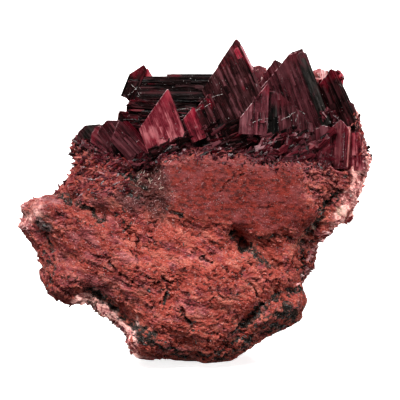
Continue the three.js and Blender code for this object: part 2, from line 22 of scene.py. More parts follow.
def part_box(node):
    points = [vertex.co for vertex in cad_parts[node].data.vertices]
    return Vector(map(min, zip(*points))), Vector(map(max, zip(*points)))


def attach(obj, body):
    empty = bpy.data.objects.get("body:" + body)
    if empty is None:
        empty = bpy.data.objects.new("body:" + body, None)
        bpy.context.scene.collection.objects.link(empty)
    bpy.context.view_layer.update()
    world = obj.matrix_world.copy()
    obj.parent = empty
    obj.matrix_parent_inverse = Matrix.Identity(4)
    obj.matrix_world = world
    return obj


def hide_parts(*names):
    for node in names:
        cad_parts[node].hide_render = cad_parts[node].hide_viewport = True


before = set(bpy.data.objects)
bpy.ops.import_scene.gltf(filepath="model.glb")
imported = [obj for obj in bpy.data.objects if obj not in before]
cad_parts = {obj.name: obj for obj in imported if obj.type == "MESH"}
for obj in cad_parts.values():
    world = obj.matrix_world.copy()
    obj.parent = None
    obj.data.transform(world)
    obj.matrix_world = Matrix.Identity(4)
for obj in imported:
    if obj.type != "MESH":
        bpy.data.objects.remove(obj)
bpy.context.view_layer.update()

MM = 0.001
OVERHEAD = 30.0  # mm out of the face, from where things are dropped onto it
log = logging.getLogger("erythrite")

Colour = tuple[float, float, float]
Place = tuple[float, float, float]
Span = tuple[float, float]
Line = tuple[Span, ...]
Array = np.ndarray
Draw = np.random.Generator
Material = bpy.types.Material
Mesh = bpy.types.Mesh
Shape = bmesh.types.BMesh
Socket = bpy.types.NodeSocket
Feed = Union[Socket, float, Colour]  # what goes into a node: another's output, a number or a colour


# ------------ the leaning face and its noise


@dataclass(frozen=True)
class LeaningFace:
    """The frame that places on the specimen are given in.

    lean is how far the face tips back, and shift where its zero point stands in the part's frame, in mm.
    """

    lean: float = math.radians(15)
    shift: Place = (0.2000, -5.5193, 0.0)

    def matrix(self) -> Matrix:
        """Takes a place on the face, in mm, to the part's frame, in metres.

        Returns:
            The matrix that does so.
        """
        s, c = math.sin(self.lean), math.cos(self.lean)
        x, y, z = self.shift
        turned = Matrix(((1, 0, 0, x), (0, s, -c, y), (0, c, s, z), (0, 0, 0, 1)))
        return Matrix.Scale(MM, 4) @ turned

    def outward(self) -> Vector:
        """The way out of the face, in the part's frame."""
        return (self.matrix().to_3x3() @ Vector((0, 0, 1))).normalized()

    def read(self, places: Array) -> Array:
        """Takes places in metres to across, up and out in mm."""
        back = np.array(self.matrix().inverted())
        return places @ back[:3, :3].T + back[:3, 3]

    def dropped(self, across: float, up: float, trees: Iterable[BVHTree]) -> list[tuple]:
        """Drops a point straight onto the face.

        Args:
            across: how far across it is dropped, in mm.
            up: how far up, in mm.
            trees: the surfaces that it may land on.

        Returns:
            Where it lands on each of them, the normal, the face, and how far it fell, or None for each.
        """
        start = self.matrix() @ Vector((across, up, OVERHEAD))
        way = -self.outward()
        return [tree.ray_cast(start, way) for tree in trees]


FACE = LeaningFace()
FACE_TURN = math.degrees(FACE.lean) - 90  # degrees about X that lay the face flat for a pattern
CLEAVAGE = 22.0  # degrees that the rock's flakes and fibres slope down to the right


class Noise:
    """Repeatable noise for whole arrays of places at once."""

    STRIDES = np.array((374761393, 668265263, 1440662683))
    SEED_STRIDE = 1013904223
    WORD = 0xFFFFFFFF
    KEPT = 0xFFFFFF
    SCRAMBLE = ((13, 1274126177), (16, 2246822519))
    LAST_SHIFT = 15
    FINER = 2.03
    CHIP_TILT = 1.3

    @classmethod
    def hashed(cls, cells: Array, seed: int) -> Array:
        """Draws a number for each cell of space, always the same for the same cell.

        Args:
            cells: one row of whole numbers for each cell.
            seed: which draw.

        Returns:
            A number from 0 to 1 for each cell.
        """
        h = (cells.astype(np.int64) * cls.STRIDES).sum(axis=1) + seed * cls.SEED_STRIDE
        h = h & cls.WORD
        for shift, factor in cls.SCRAMBLE:
            h = ((h ^ (h >> shift)) * factor) & cls.WORD
        return ((h ^ (h >> cls.LAST_SHIFT)) & cls.KEPT) / float(cls.KEPT)

    @classmethod
    def lumps(cls, places: Array, seed: int = 0) -> Array:
        """Smooth noise with lumps about one unit across.

        Args:
            places: one row for each place.
            seed: which noise.

        Returns:
            A number from -1 to 1 for each place.
        """
        low = np.floor(places)
        t = places - low
        t = t * t * (3 - 2 * t)
        total = np.zeros(len(places))
        for corner in np.ndindex(2, 2, 2):
            weight = np.prod(np.where(np.array(corner) == 1, t, 1 - t), axis=1)
            total += weight * cls.hashed(low + corner, seed)
        return 2 * total - 1

    @classmethod
    def layers(cls, places: Array, seed: int, count: int) -> Array:
        """Noise with finer and finer lumps laid over one another, from about -1 to 1."""
        total = sum(0.5**i * cls.lumps(places * cls.FINER**i + 5.2 * i, seed + i) for i in range(count))
        return total / (2 - 0.5 ** (count - 1))

    @classmethod
    def chips(cls, places: Array, seed: int) -> tuple[Array, Array]:
        """Heights of a surface that is broken into flat, tilted chips.

        Args:
            places: one row for each place, in units of a chip's size.
            seed: which break.

        Returns:
            The height at each place, from about -1 to 1, and how near it is to a joint (0 on the joint).
        """
        low = np.floor(places)
        near = np.full(len(places), np.inf)
        second = np.full(len(places), np.inf)
        height = np.zeros(len(places))
        for step in np.ndindex(3, 3, 3):
            cell = low + np.array(step) - 1
            away = places - cell - np.stack([cls.hashed(cell, seed + k) for k in range(3)], axis=1)
            far = np.linalg.norm(away, axis=1)
            closer = far < near
            tilt = sum(away[:, k] * (2 * cls.hashed(cell, seed + 11 + k) - 1) for k in range(3))
            second = np.where(closer, near, np.minimum(second, far))
            height = np.where(closer, 2 * cls.hashed(cell, seed + 7) - 1 + cls.CHIP_TILT * tilt, height)
            near = np.where(closer, far, near)
        return height, second - near


def ease(value: Array, low: float, high: float) -> Array:
    """Goes smoothly from 0 at low to 1 at high."""
    t = np.clip((value - low) / (high - low), 0, 1)
    return t * t * (3 - 2 * t)


def gap_to(line: Line, across: Array, up: Array) -> Array:
    """How far places lie from a line through some points.

    Args:
        line: the line's points, across and up.
        across: how far each place is across.
        up: how far each place is up.

    Returns:
        The distance of each place from the line.
    """
    gap = np.full(len(across), np.inf)
    for (x0, y0), (x1, y1) in zip(line, line[1:]):
        dx, dy = x1 - x0, y1 - y0
        t = np.clip(((across - x0) * dx + (up - y0) * dy) / (dx * dx + dy * dy), 0, 1)
        gap = np.minimum(gap, np.hypot(across - x0 - t * dx, up - y0 - t * dy))
    return gap


def height_over(line: Line, across: Array, up: Array) -> Array:
    """How far places lie above a line that runs from left to right."""
    xs, ys = np.array(line).T
    return up - np.interp(across, xs, ys)


def enclosed(line: Line, across: Array, up: Array) -> Array:
    """Which places lie inside a closed line.

    Args:
        line: the line's points, across and up, the last the same as the first.
        across: how far each place is across.
        up: how far each place is up.

    Returns:
        True for each place inside.
    """
    within = np.zeros(len(across), dtype=bool)
    for (x0, y0), (x1, y1) in zip(line, line[1:]):
        cross = (y0 > up) != (y1 > up)
        with np.errstate(divide="ignore", invalid="ignore"):
            side = across < (x1 - x0) * (up - y0) / (y1 - y0 + 1e-12) + x0
        within ^= cross & side
    return within


def values(items: bpy.types.bpy_prop_collection, name: str, width: int = 1, kind: type = float) -> Array:
    """Reads one property of all of a mesh's points, edges, faces or corners.

    Args:
        items: the points, edges, faces or corners.
        name: the property.
        width: how many numbers each of them has.
        kind: the numbers' type.

    Returns:
        A number for each, or a row of them.
    """
    found = np.empty(len(items) * width, dtype=kind)
    items.foreach_get(name, found)
    return found.reshape(-1, width) if width > 1 else found


@dataclass(frozen=True)
class Patch:
    """A slanting oval on the face: its middle, half sizes, turn in degrees, and how fully it covers."""

    middle: Span
    half: Span
    turn: float = 0.0
    share: float = 1.0
    fade: Span = (0.45, 1.1)

    def cover(self, across: Array, up: Array) -> Array:
        """How fully it covers places.

        Args:
            across: how far each place is across.
            up: how far each place is up.

        Returns:
            Its share in the middle, falling to 0 at the edge and staying there.
        """
        x, y = across - self.middle[0], up - self.middle[1]
        c, s = math.cos(math.radians(self.turn)), math.sin(math.radians(self.turn))
        far = np.hypot((x * c + y * s) / self.half[0], (y * c - x * s) / self.half[1])
        return self.share * (1 - ease(far, *self.fade))


# ------------ finishes


class Shader:
    """A material's nodes, made in few words."""

    def __init__(self, name: str) -> None:
        """Starts an empty material.

        Args:
            name: its name.
        """
        self.material = bpy.data.materials.new(name)
        self.material.use_nodes = True
        self.tree = self.material.node_tree
        self.tree.nodes.clear()
        self.output = self.add("ShaderNodeOutputMaterial")

    def feed(self, node: bpy.types.Node, which: int | str, value: Feed) -> None:
        """Gives one input of a node a value, or another node's output.

        Args:
            node: the node.
            which: the input's name or number.
            value: what goes in.
        """
        if isinstance(value, Socket):
            self.tree.links.new(value, node.inputs[which])
        else:
            node.inputs[which].default_value = value

    def add(self, kind: str, inputs: dict[str, Feed] | None = None, **settings: object) -> bpy.types.Node:
        """Adds a node.

        Args:
            kind: the node's type.
            inputs: a value, or another node's socket, for each named input.
            settings: the node's own properties.

        Returns:
            The new node.
        """
        node = self.tree.nodes.new(kind)
        for name, value in settings.items():
            setattr(node, name, value)
        for name, value in (inputs or {}).items():
            self.feed(node, name, value)
        return node

    def object_place(self) -> Socket:
        """Where a point lies on the piece, in metres."""
        return self.add("ShaderNodeTexCoord").outputs["Object"]

    def own(self, name: str, vector: bool = False) -> Socket:
        """One of the piece's own attributes."""
        node = self.add("ShaderNodeAttribute", attribute_name=name, attribute_type="GEOMETRY")
        return node.outputs["Vector" if vector else "Fac"]

    def mapped(self, source: Socket, scale: Place, turn: Place = (0, 0, 0)) -> Socket:
        """A pattern's coordinates, stretched and turned."""
        inputs = {"Vector": source, "Scale": scale, "Rotation": tuple(math.radians(t) for t in turn)}
        return self.add("ShaderNodeMapping", inputs).outputs[0]

    def noise(self, source: Socket, scale: float, detail: float = 3, rough: float = 0.55) -> Socket:
        """Noise from 0 to 1."""
        inputs = {"Vector": source, "Scale": scale, "Detail": detail, "Roughness": rough}
        return self.add("ShaderNodeTexNoise", inputs).outputs[0]

    def stretched(self, source: Socket, scale: Place, detail: float, rough: float, turn: float = 0) -> Socket:
        """Noise from 0 to 1 that is drawn out more one way than another."""
        return self.noise(self.mapped(source, scale, (0, 0, turn)), 1, detail, rough)

    def spread(self, value: Socket, low: float, high: float, to: Span = (0, 1)) -> Socket:
        """Takes the range from low to high smoothly to another range."""
        inputs = {"Value": value, "From Min": low, "From Max": high, "To Min": to[0], "To Max": to[1]}
        return self.add("ShaderNodeMapRange", inputs, interpolation_type="SMOOTHSTEP").outputs[0]

    def reckon(self, kind: str, a: Feed, b: Feed) -> Socket:
        """Puts two numbers together.

        Args:
            kind: how, in the node's own words.
            a: the first number.
            b: the second number.

        Returns:
            The result.
        """
        node = self.add("ShaderNodeMath", operation=kind)
        self.feed(node, 0, a)
        self.feed(node, 1, b)
        return node.outputs[0]

    def plus(self, a: Feed, b: Feed) -> Socket:
        """The sum of two numbers."""
        return self.reckon("ADD", a, b)

    def minus(self, a: Feed, b: Feed) -> Socket:
        """The first number less the second."""
        return self.reckon("SUBTRACT", a, b)

    def times(self, a: Feed, b: Feed) -> Socket:
        """The product of two numbers."""
        return self.reckon("MULTIPLY", a, b)

    def mix(self, share: Feed, a: Feed, b: Feed, kind: str = "MIX") -> Socket:
        """Lays one colour over another.

        Args:
            share: how much of the second shows.
            a: the colour underneath.
            b: the colour on top.
            kind: how they blend, in the node's own words.

        Returns:
            The mixed colour.
        """
        node = self.add("ShaderNodeMix", data_type="RGBA", blend_type=kind, clamp_factor=True)
        for i, value in ((0, share), (6, a), (7, b)):
            self.feed(node, i, (*value, 1) if isinstance(value, tuple) else value)
        return node.outputs[2]

    def bump(self, height: Socket, strength: float, distance: float) -> Socket:
        """Normals for relief too fine for the mesh."""
        inputs = {"Height": height, "Strength": strength, "Distance": distance}
        return self.add("ShaderNodeBump", inputs).outputs[0]

    def finish(self, inputs: dict[str, Feed]) -> Material:
        """Ends the material with its surface.

        Args:
            inputs: what the surface takes, by name.

        Returns:
            The material.
        """
        surface = self.add("ShaderNodeBsdfPrincipled", inputs).outputs[0]
        self.tree.links.new(surface, self.output.inputs["Surface"])
        return self.material


class RockShader(Shader):
    """The rock's nodes, with the patterns that its colours share.

    face and slanted are coordinates in mm, laid on the face and along the flakes. fibres is fine noise drawn
    out along the flakes, grains fine noise that isn't, and tone how light the rock is, from 0 to 1.
    """

    def __init__(self, name: str) -> None:
        """Lays out the patterns.

        Args:
            name: the material's name.
        """
        super().__init__(name)
        self.face = self.mapped(self.object_place(), (1 / MM, 1 / MM, 1 / MM), (FACE_TURN, 0, 0))
        self.slanted = self.mapped(self.face, (1, 1, 1), (0, 0, CLEAVAGE))
        self.fibres = self.stretched(self.slanted, (0.8, 3.6, 1.6), 5, 0.65)
        self.grains = self.noise(self.face, 5.5, 3, 0.7)
        broad = self.stretched(self.slanted, (0.35, 0.8, 0.6), 5, 0.62)
        tone = self.plus(self.times(broad, 0.55), self.times(self.fibres, 0.45))
        self.tone = self.plus(tone, self.times(self.minus(self.own("calm"), 0.4), 0.05))


@dataclass(frozen=True)
class RockFinish:
    """Broken massive erythrite: brick pink, flaky, glinting, with dark ore in its cracks.

    deep, salmon, rose, light and blush are its own colours from dark to light; light is also laid on its
    ridges as painted light, and its darkest colour is painted shade in its hollows. rich is the darker red
    laid over its upper part and its left, and wine the dark red laid in two patches at the upper left and
    over the pocket behind the brow, where it is painted shade under the crystals. plate, brick and mauve are
    those of its smooth plate. The others are named for what they show: ore and ash in the cracks, sugar and
    frost in the fine dark coating, and pale the thin rims: partly their own pale pink and partly painted
    light shining through them, which also makes them glow by as much as through. Its glint colour is painted
    on small cleavage faces as glints.
    """

    # painted shade for the rock's hollows
    hollow_shade: Colour = (0.05, 0.008, 0.006)
    deep: Colour = (0.155, 0.014, 0.009)
    salmon: Colour = (0.35, 0.052, 0.036)
    rose: Colour = (0.25, 0.042, 0.048)
    light: Colour = (0.545, 0.158, 0.112)
    blush: Colour = (0.485, 0.142, 0.138)
    rich: Colour = (0.095, 0.011, 0.013)
    plate: Colour = (0.05, 0.003, 0.002)
    brick: Colour = (0.195, 0.018, 0.011)
    mauve: Colour = (0.195, 0.036, 0.036)
    ore: Colour = (0.016, 0.009, 0.006)
    ash: Colour = (0.078, 0.056, 0.044)
    sugar: Colour = (0.036, 0.007, 0.006)
    frost: Colour = (0.15, 0.055, 0.05)
    cream: Colour = (0.6, 0.39, 0.3)
    # partly the rims' own pale pink, partly painted light shining through them
    pale: Colour = (0.98, 0.54, 0.475)
    wine: Colour = (0.07, 0.008, 0.012)
    grey: Colour = (0.19, 0.11, 0.108)
    # painted highlight colour for glints on small cleavage faces
    painted_glint: Colour = (0.78, 0.52, 0.5)
    # how strongly the pale rims glow: painted light, though they are no lamp
    through: float = 0.8
    ragged: float = 1.1
    edge: float = 0.34

    def ground(self, s: RockShader) -> Socket:
        """The rock's own colour.

        Args:
            s: the material's nodes.

        Returns:
            The colour.
        """
        hue = s.stretched(s.slanted, (0.42, 0.7, 0.6), 4, 0.6)
        hue = s.spread(s.plus(hue, s.times(s.own("rich"), 0.12)), 0.48, 0.64)
        colour = s.mix(s.spread(s.tone, 0.36, 0.5), self.deep, s.mix(hue, self.salmon, self.rose))
        colour = s.mix(s.spread(s.tone, 0.49, 0.63), colour, s.mix(hue, self.light, self.blush))
        stained = s.spread(s.stretched(s.slanted, (0.7, 1.3, 1.0), 4, 0.65), 0.46, 0.6, (0.25, 0.95))
        return s.mix(s.times(s.own("rich"), stained), colour, self.rich)

    def smoothed(self, s: RockShader, colour: Socket) -> Socket:
        """Lays the smooth plate over the rock, and speckles both.

        Args:
            s: the material's nodes.
            colour: the colour underneath.

        Returns:
            The colour with the plate.
        """
        mottled = s.stretched(s.face, (1.6, 2.4, 2.0), 5, 0.7, 14)
        clouds = s.spread(s.stretched(s.face, (0.5, 0.8, 0.6), 5, 0.65), 0.48, 0.64, (0, 0.75))
        plate = s.mix(clouds, s.mix(s.spread(mottled, 0.38, 0.6), self.plate, self.brick), self.mauve)
        colour = s.mix(s.own("plate"), colour, plate)
        speckle = s.mix(s.spread(s.grains, 0.3, 0.7), (0.62, 0.6, 0.6), (1.4, 1.4, 1.4))
        return s.mix(s.spread(s.own("plate"), 0.2, 0.9, (0.85, 0.5)), colour, speckle, "MULTIPLY")

    def painted_relief_light_and_dust(self, s: RockShader, colour: Socket) -> Socket:
        """Lightens the brow, paints light on the ridges and shade in the hollows, and dusts the sugary part.

        Args:
            s: the material's nodes.
            colour: the colour underneath.

        Returns:
            The colour with all of these.
        """
        colour = s.mix(s.times(s.own("brow"), s.spread(s.fibres, 0.42, 0.6, (0.0, 0.3))), colour, self.blush)
        high = s.own("high")
        # painted shade in the hollows and painted light on the ridges, by how far each point stands out
        colour = s.mix(s.spread(high, -1.1, -0.1, (0.85, 0.0)), colour, self.hollow_shade)
        colour = s.mix(s.spread(high, 0.25, 1.2, (0.0, 0.35)), colour, self.light)
        dusting = s.mix(s.spread(s.grains, 0.46, 0.72), self.sugar, self.frost)
        return s.mix(s.times(s.own("sugar"), 0.9), colour, dusting)

    def minerals(self, s: RockShader, colour: Socket) -> Socket:
        """Lays the other minerals over the rock, each with ragged edges, and with them the dark wine red,
        which is painted shade in the pocket, and the pale of the rims.

        Args:
            s: the material's nodes.
            colour: the colour underneath.

        Returns:
            The colour with the minerals.
        """
        ore = s.mix(s.spread(s.noise(s.face, 3.2, 3, 0.6), 0.48, 0.66), self.ore, self.ash)
        pale = s.mix(s.spread(s.tone, 0.4, 0.58), self.blush, self.pale)
        for mask, shade, low in (
            ("wine", self.wine, 0.34),
            ("pale", pale, 0.32),
            ("grey", self.grey, 0.36),
            ("cream", self.cream, 0.36),
            ("ore", ore, 0.36),
        ):
            ragged = s.plus(s.own(mask), s.times(s.minus(s.grains, 0.5), self.ragged))
            colour = s.mix(s.spread(ragged, low, low + self.edge), colour, shade)
        return colour

    def flecks(self, s: RockShader) -> Socket:
        """Where small cleavage faces get painted glints and a smoother finish, fewer on the plate.

        Args:
            s: the material's nodes.

        Returns:
            How fully, from 0 to 1.
        """
        flecks = s.spread(s.noise(s.face, 7.0, 1, 0.5), 0.62, 0.72)
        flecks = s.times(flecks, s.spread(s.noise(s.face, 0.9, 2, 0.5), 0.35, 0.65, (0.25, 1.0)))
        return s.times(flecks, s.spread(s.own("plate"), 0.2, 0.9, (1.0, 0.45)))

    def make(self, name: str) -> Material:
        """Builds the material.

        Args:
            name: its name.

        Returns:
            The material, which reads the rock's masks from its attributes.
        """
        s = RockShader(name)
        colour = self.minerals(s, self.painted_relief_light_and_dust(s, self.smoothed(s, self.ground(s))))
        flecks = self.flecks(s)
        # the pale rims glow in their own colour: painted light shining through them
        lit = s.times(s.own("pale"), s.spread(s.tone, 0.42, 0.6))
        return s.finish(
            {
                # painted glints: the colour is lightened toward the glint colour where the flecks lie
                "Base Color": s.mix(s.times(flecks, 0.6), colour, self.painted_glint),
                "Roughness": s.minus(s.spread(s.grains, 0.2, 0.8, (0.42, 0.72)), s.times(flecks, 0.3)),
                "Normal": s.bump(s.plus(s.times(s.fibres, 0.5), s.times(s.grains, 0.5)), 0.7, 0.22 * MM),
                "IOR": 1.6,
                "Specular IOR Level": 0.12,
                "Emission Color": s.mix(lit, (0, 0, 0), self.pale),
                "Emission Strength": self.through,
            }
        )


@dataclass(frozen=True)
class CrystalFinish:
    """Erythrite crystal: see-through wine red, clouded, with streaks along its growth.

    dark, body and light are what its clouds and streaks go through, light partly standing for painted sheen
    on its faces. window is the crimson of its clear places, which cover it by glow, most near its tip: partly
    the tint of light through them, partly painted light shining through. Its fleck colour is laid on pale
    flecks, partly dust and partly painted glints, the stronger the glossier it is. clear is how see-through
    it is, and through and density what light loses inside. rise makes its foot lighter and its tip darker,
    gloss is its mirror-like share, and cloudy how much clouds count against bands.
    """

    dark: Colour
    body: Colour
    light: Colour
    window: Colour = (0.33, 0.01, 0.03)
    # pale flecks, partly dust and partly painted glints
    dust_and_glint: Colour = (0.52, 0.3, 0.31)
    clear: float = 0.6
    density: float = 2600.0
    through: Colour = (0.84, 0.05, 0.17)
    glow: float = 0.7
    rise: float = 0.0
    gloss: float = 0.08
    cloudy: float = 0.28

    def tone(self, s: Shader, grain: Socket, along: Socket, streaks: Socket, hairs: Socket) -> Socket:
        """How light the crystal is from place to place, from 0 to 1.

        Args:
            s: the material's nodes.
            grain: coordinates in mm along the crystal's growth.
            along: how far a place is up the crystal.
            streaks: noise drawn out along the growth.
            hairs: the same, finer.

        Returns:
            The tone.
        """
        bands = s.stretched(grain, (2.2, 0.05, 2.2), 2, 0.5)
        clouds = s.stretched(grain, (0.9, 0.55, 0.9), 4, 0.6)
        tone = s.plus(s.times(bands, 0.64 - self.cloudy), s.times(clouds, self.cloudy))
        for pattern, share in ((streaks, 0.24), (hairs, 0.12), (s.own("tint"), 0.05)):
            tone = s.plus(tone, s.times(pattern, share))
        return s.plus(tone, s.spread(along, -7.0, -0.6, (self.rise, -0.4 * self.rise)))

    def make(self, name: str) -> Material:
        """Builds the material.

        Args:
            name: its name.

        Returns:
            The material, which reads the crystal's own coordinates and tint from its attributes.
        """
        s = Shader(name)
        grain = s.own("grain", vector=True)
        along = s.add("ShaderNodeSeparateXYZ", {"Vector": grain}).outputs[1]
        streaks = s.stretched(grain, (6.5, 0.32, 6.5), 3, 0.6)
        hairs = s.stretched(grain, (19, 1.1, 19), 2, 0.6)
        tone = self.tone(s, grain, along, streaks, hairs)
        colour = s.mix(s.spread(tone, 0.4, 0.51), self.dark, self.body)
        colour = s.mix(s.spread(tone, 0.51, 0.61), colour, self.light)
        pools = s.stretched(grain, (0.8, 0.5, 0.8), 4, 0.55)
        pools = s.plus(pools, s.times(s.spread(along, -3.6, -0.6), 0.18))
        # crimson clear places, most near the tip: partly the tint of light through them, partly painted light
        colour = s.mix(s.times(s.spread(pools, 0.56, 0.84), self.glow), colour, self.window)
        flecks = s.spread(s.stretched(grain, (9, 6, 9), 2, 0.6), 0.68, 0.76)
        inner = s.add("ShaderNodeVolumeAbsorption", {"Color": (*self.through, 1), "Density": self.density})
        s.feed(s.output, "Volume", inner.outputs[0])
        return s.finish(
            {
                # pale flecks, partly dust and partly painted glints, stronger the glossier the finish
                "Base Color": s.mix(s.times(flecks, 1.2 * self.gloss), colour, self.dust_and_glint),
                "Roughness": s.spread(tone, 0.38, 0.62, (0.19, 0.38)),
                "Normal": s.bump(s.plus(s.times(streaks, 0.7), s.times(hairs, 0.3)), 0.32, 0.15 * MM),
                "IOR": 1.62,
                "Specular IOR Level": self.gloss,
                "Transmission Weight": self.clear,
            }
        )


class Tone(Enum):
    """The finishes that a crystal may have, by how they look from the front. PINK, MAUVE, WINE, DUSK and DARK
    are one erythrite at different lightness: partly its own colour, partly painted sheen and shade for how
    each face catches the light.
    """

    PINK = CrystalFinish(
        (0.026, 0.002, 0.004), (0.165, 0.014, 0.024), (0.49, 0.135, 0.15), clear=0.25, rise=0.04, cloudy=0.46
    )
    WINE = CrystalFinish(
        (0.006, 0.001, 0.001), (0.074, 0.012, 0.017), (0.22, 0.05, 0.064), clear=0.45, glow=0.15
    )
    DUSK = CrystalFinish(
        (0.002, 0.001, 0.001), (0.034, 0.007, 0.008), (0.2, 0.058, 0.07), clear=0.3, glow=0.55, gloss=0.04
    )
    DARK = CrystalFinish(
        (0.001, 0.001, 0.001), (0.005, 0.001, 0.001), (0.045, 0.01, 0.012), clear=0.15, glow=0.3, gloss=0.02
    )
    MAUVE = CrystalFinish(
        (0.016, 0.003, 0.004), (0.11, 0.02, 0.028), (0.29, 0.088, 0.104), clear=0.3, glow=0.4, cloudy=0.4
    )
    CRIMSON = CrystalFinish((0.034, 0.003, 0.005), (0.17, 0.012, 0.024), (0.43, 0.085, 0.1))
    # bright crimson for thin places that light shines through from behind: its see-through tint, made lighter
    # as painted light
    FLAME = CrystalFinish(
        (0.2, 0.008, 0.02), (0.48, 0.036, 0.066), (0.86, 0.44, 0.44), (0.64, 0.014, 0.052), density=900
    )
    # pale pink for thin rims and edges, its lightness partly painted light shining through them
    PALE = CrystalFinish((0.52, 0.13, 0.145), (0.84, 0.4, 0.39), (0.98, 0.82, 0.77), clear=0.15, density=800)
    ROSE = CrystalFinish(
        (0.24, 0.034, 0.04), (0.46, 0.12, 0.115), (0.86, 0.5, 0.45), clear=0.15, density=1200
    )
    CREAM = CrystalFinish((0.3, 0.15, 0.12), (0.58, 0.39, 0.33), (0.92, 0.78, 0.69), clear=0.1, glow=0.1)
    # pale pink painted highlight along the cut ends of the crystals
    EDGE = CrystalFinish((0.36, 0.1, 0.12), (0.64, 0.32, 0.34), (0.95, 0.78, 0.77), clear=0.2, glow=0.2)
    BRICK = CrystalFinish(
        (0.09, 0.007, 0.008), (0.25, 0.038, 0.034), (0.52, 0.15, 0.128), clear=0.05, glow=0.2, gloss=0.1
    )
    GREY = CrystalFinish(
        (0.004, 0.005, 0.004), (0.026, 0.028, 0.026), (0.2, 0.19, 0.18), (0.05, 0.03, 0.03),
        clear=0, gloss=0.1,
    )  # fmt: skip
    SMOKE = CrystalFinish(
        (0.002, 0.002, 0.002), (0.005, 0.004, 0.003), (0.042, 0.033, 0.03), (0.12, 0.02, 0.03),
        clear=0.2, gloss=0.12,
    )  # fmt: skip


@dataclass(frozen=True)
class DustFinish:
    """Pale, dull dust, a little uneven."""

    light: Colour = (0.80, 0.76, 0.73)
    dull: Colour = (0.42, 0.34, 0.32)
    lump: float = 1400.0

    def make(self, name: str) -> Material:
        """Builds the material.

        Args:
            name: its name.

        Returns:
            The material.
        """
        s = Shader(name)
        uneven = s.spread(s.noise(s.object_place(), self.lump), 0.35, 0.65)
        return s.finish({"Base Color": s.mix(uneven, self.dull, self.light), "Roughness": 0.8})


@dataclass(frozen=True)
class FloorFinish:
    """Plain white studio floor."""

    colour: Colour = (0.93, 0.93, 0.92)
    glow: float = 0.80

    def make(self, name: str) -> Material:
        """Builds the material of that name."""
        return Shader(name).finish(
            {
                "Base Color": (*self.colour, 1),
                "Roughness": 0.5,
                "Emission Color": (1, 1, 1, 1),
                "Emission Strength": self.glow,
            }
        )


def dress(name: str, mesh: Mesh, slot: str, *nodes: str) -> bpy.types.Object:
    """Makes a mesh a piece of the specimen.

    Args:
        name: the piece's name.
        mesh: its finished mesh, in place.
        slot: the record's material slot that it shows; not used.
        nodes: the solids that it stands for.

    Returns:
        The piece's object.
    """
    piece = bpy.data.objects.new(name, mesh)
    bpy.context.scene.collection.objects.link(piece)
    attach(piece, "root")
    if nodes:
        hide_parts(*nodes)
    log.info("%s: %d triangles", name, sum(len(face.vertices) - 2 for face in mesh.polygons))
    return piece


# ------------ the rock

# Lines on the face, across and up: the rock's upper edge in front of the pocket, its smooth plate, its rims,
# the front plate's foot and a small hollow at the right.
BROW: Line = (
    (-15.5, 27.4), (-12.6, 26.2), (-10.1, 24.6), (-6.8, 23.6), (-5.4, 25.0), (-1.4, 25.6), (2.2, 25.8),
    (5.2, 25.3), (8.8, 24.6), (12.4, 24.8), (16.0, 24.2), (18.2, 24.6), (21.5, 26.5),
)  # fmt: skip
PLATE: Line = (
    (-3.0, 24.2), (1.0, 25.3), (8.8, 24.4), (12.2, 23.9), (12.4, 19.9), (14.4, 18.4), (14.3, 16.8),
    (12.4, 15.9), (6.6, 15.3), (4.4, 16.4), (-1.2, 17.2), (-3.4, 17.9), (-2.6, 19.6), (-4.4, 21.4),
    (-3.0, 24.2),
)  # fmt: skip
RIGHT_RIM: Line = (
    (19.2, 29.6), (20.2, 27.2), (20.3, 25.6), (21.0, 24.4), (20.7, 22.6), (19.6, 20.8), (18.6, 18.4),
)  # fmt: skip
LEFT_RIM: Line = ((-15.4, 28.0), (-14.9, 25.4), (-15.8, 22.9), (-17.2, 20.8))
SPUR_RIM: Line = ((-17.5, 20.6), (-20.6, 19.6), (-21.0, 17.6), (-20.0, 15.8))
LOWER_RIM: Line = ((-13.2, 7.7), (-10.9, 5.7), (-9.4, 4.5), (-8.3, 3.2), (-7.8, 1.2))
RIGHT_EDGE: Line = (
    (18.2, 17.4), (16.6, 16.8), (15.8, 15.8), (14.8, 14.9), (13.9, 13.7), (13.6, 12.6), (13.5, 11.8),
    (12.8, 10.6), (12.3, 9.6),
)  # fmt: skip
PLATE_FOOT: Line = ((-7.4, 24.6), (-6.2, 24.2), (-5.2, 25.2), (-3.2, 26.0), (-1.2, 26.8))
CAVITY: Line = ((15.0, 29.0), (15.1, 29.9), (15.7, 30.4), (16.3, 30.1), (16.6, 29.3), (16.3, 28.6))


@dataclass(frozen=True)
class Crack:
    """A crack or pit in the face: its line, half width and depth, and how much dark ore fills it."""

    line: Line
    half: float
    depth: float
    ore: float = 1.0


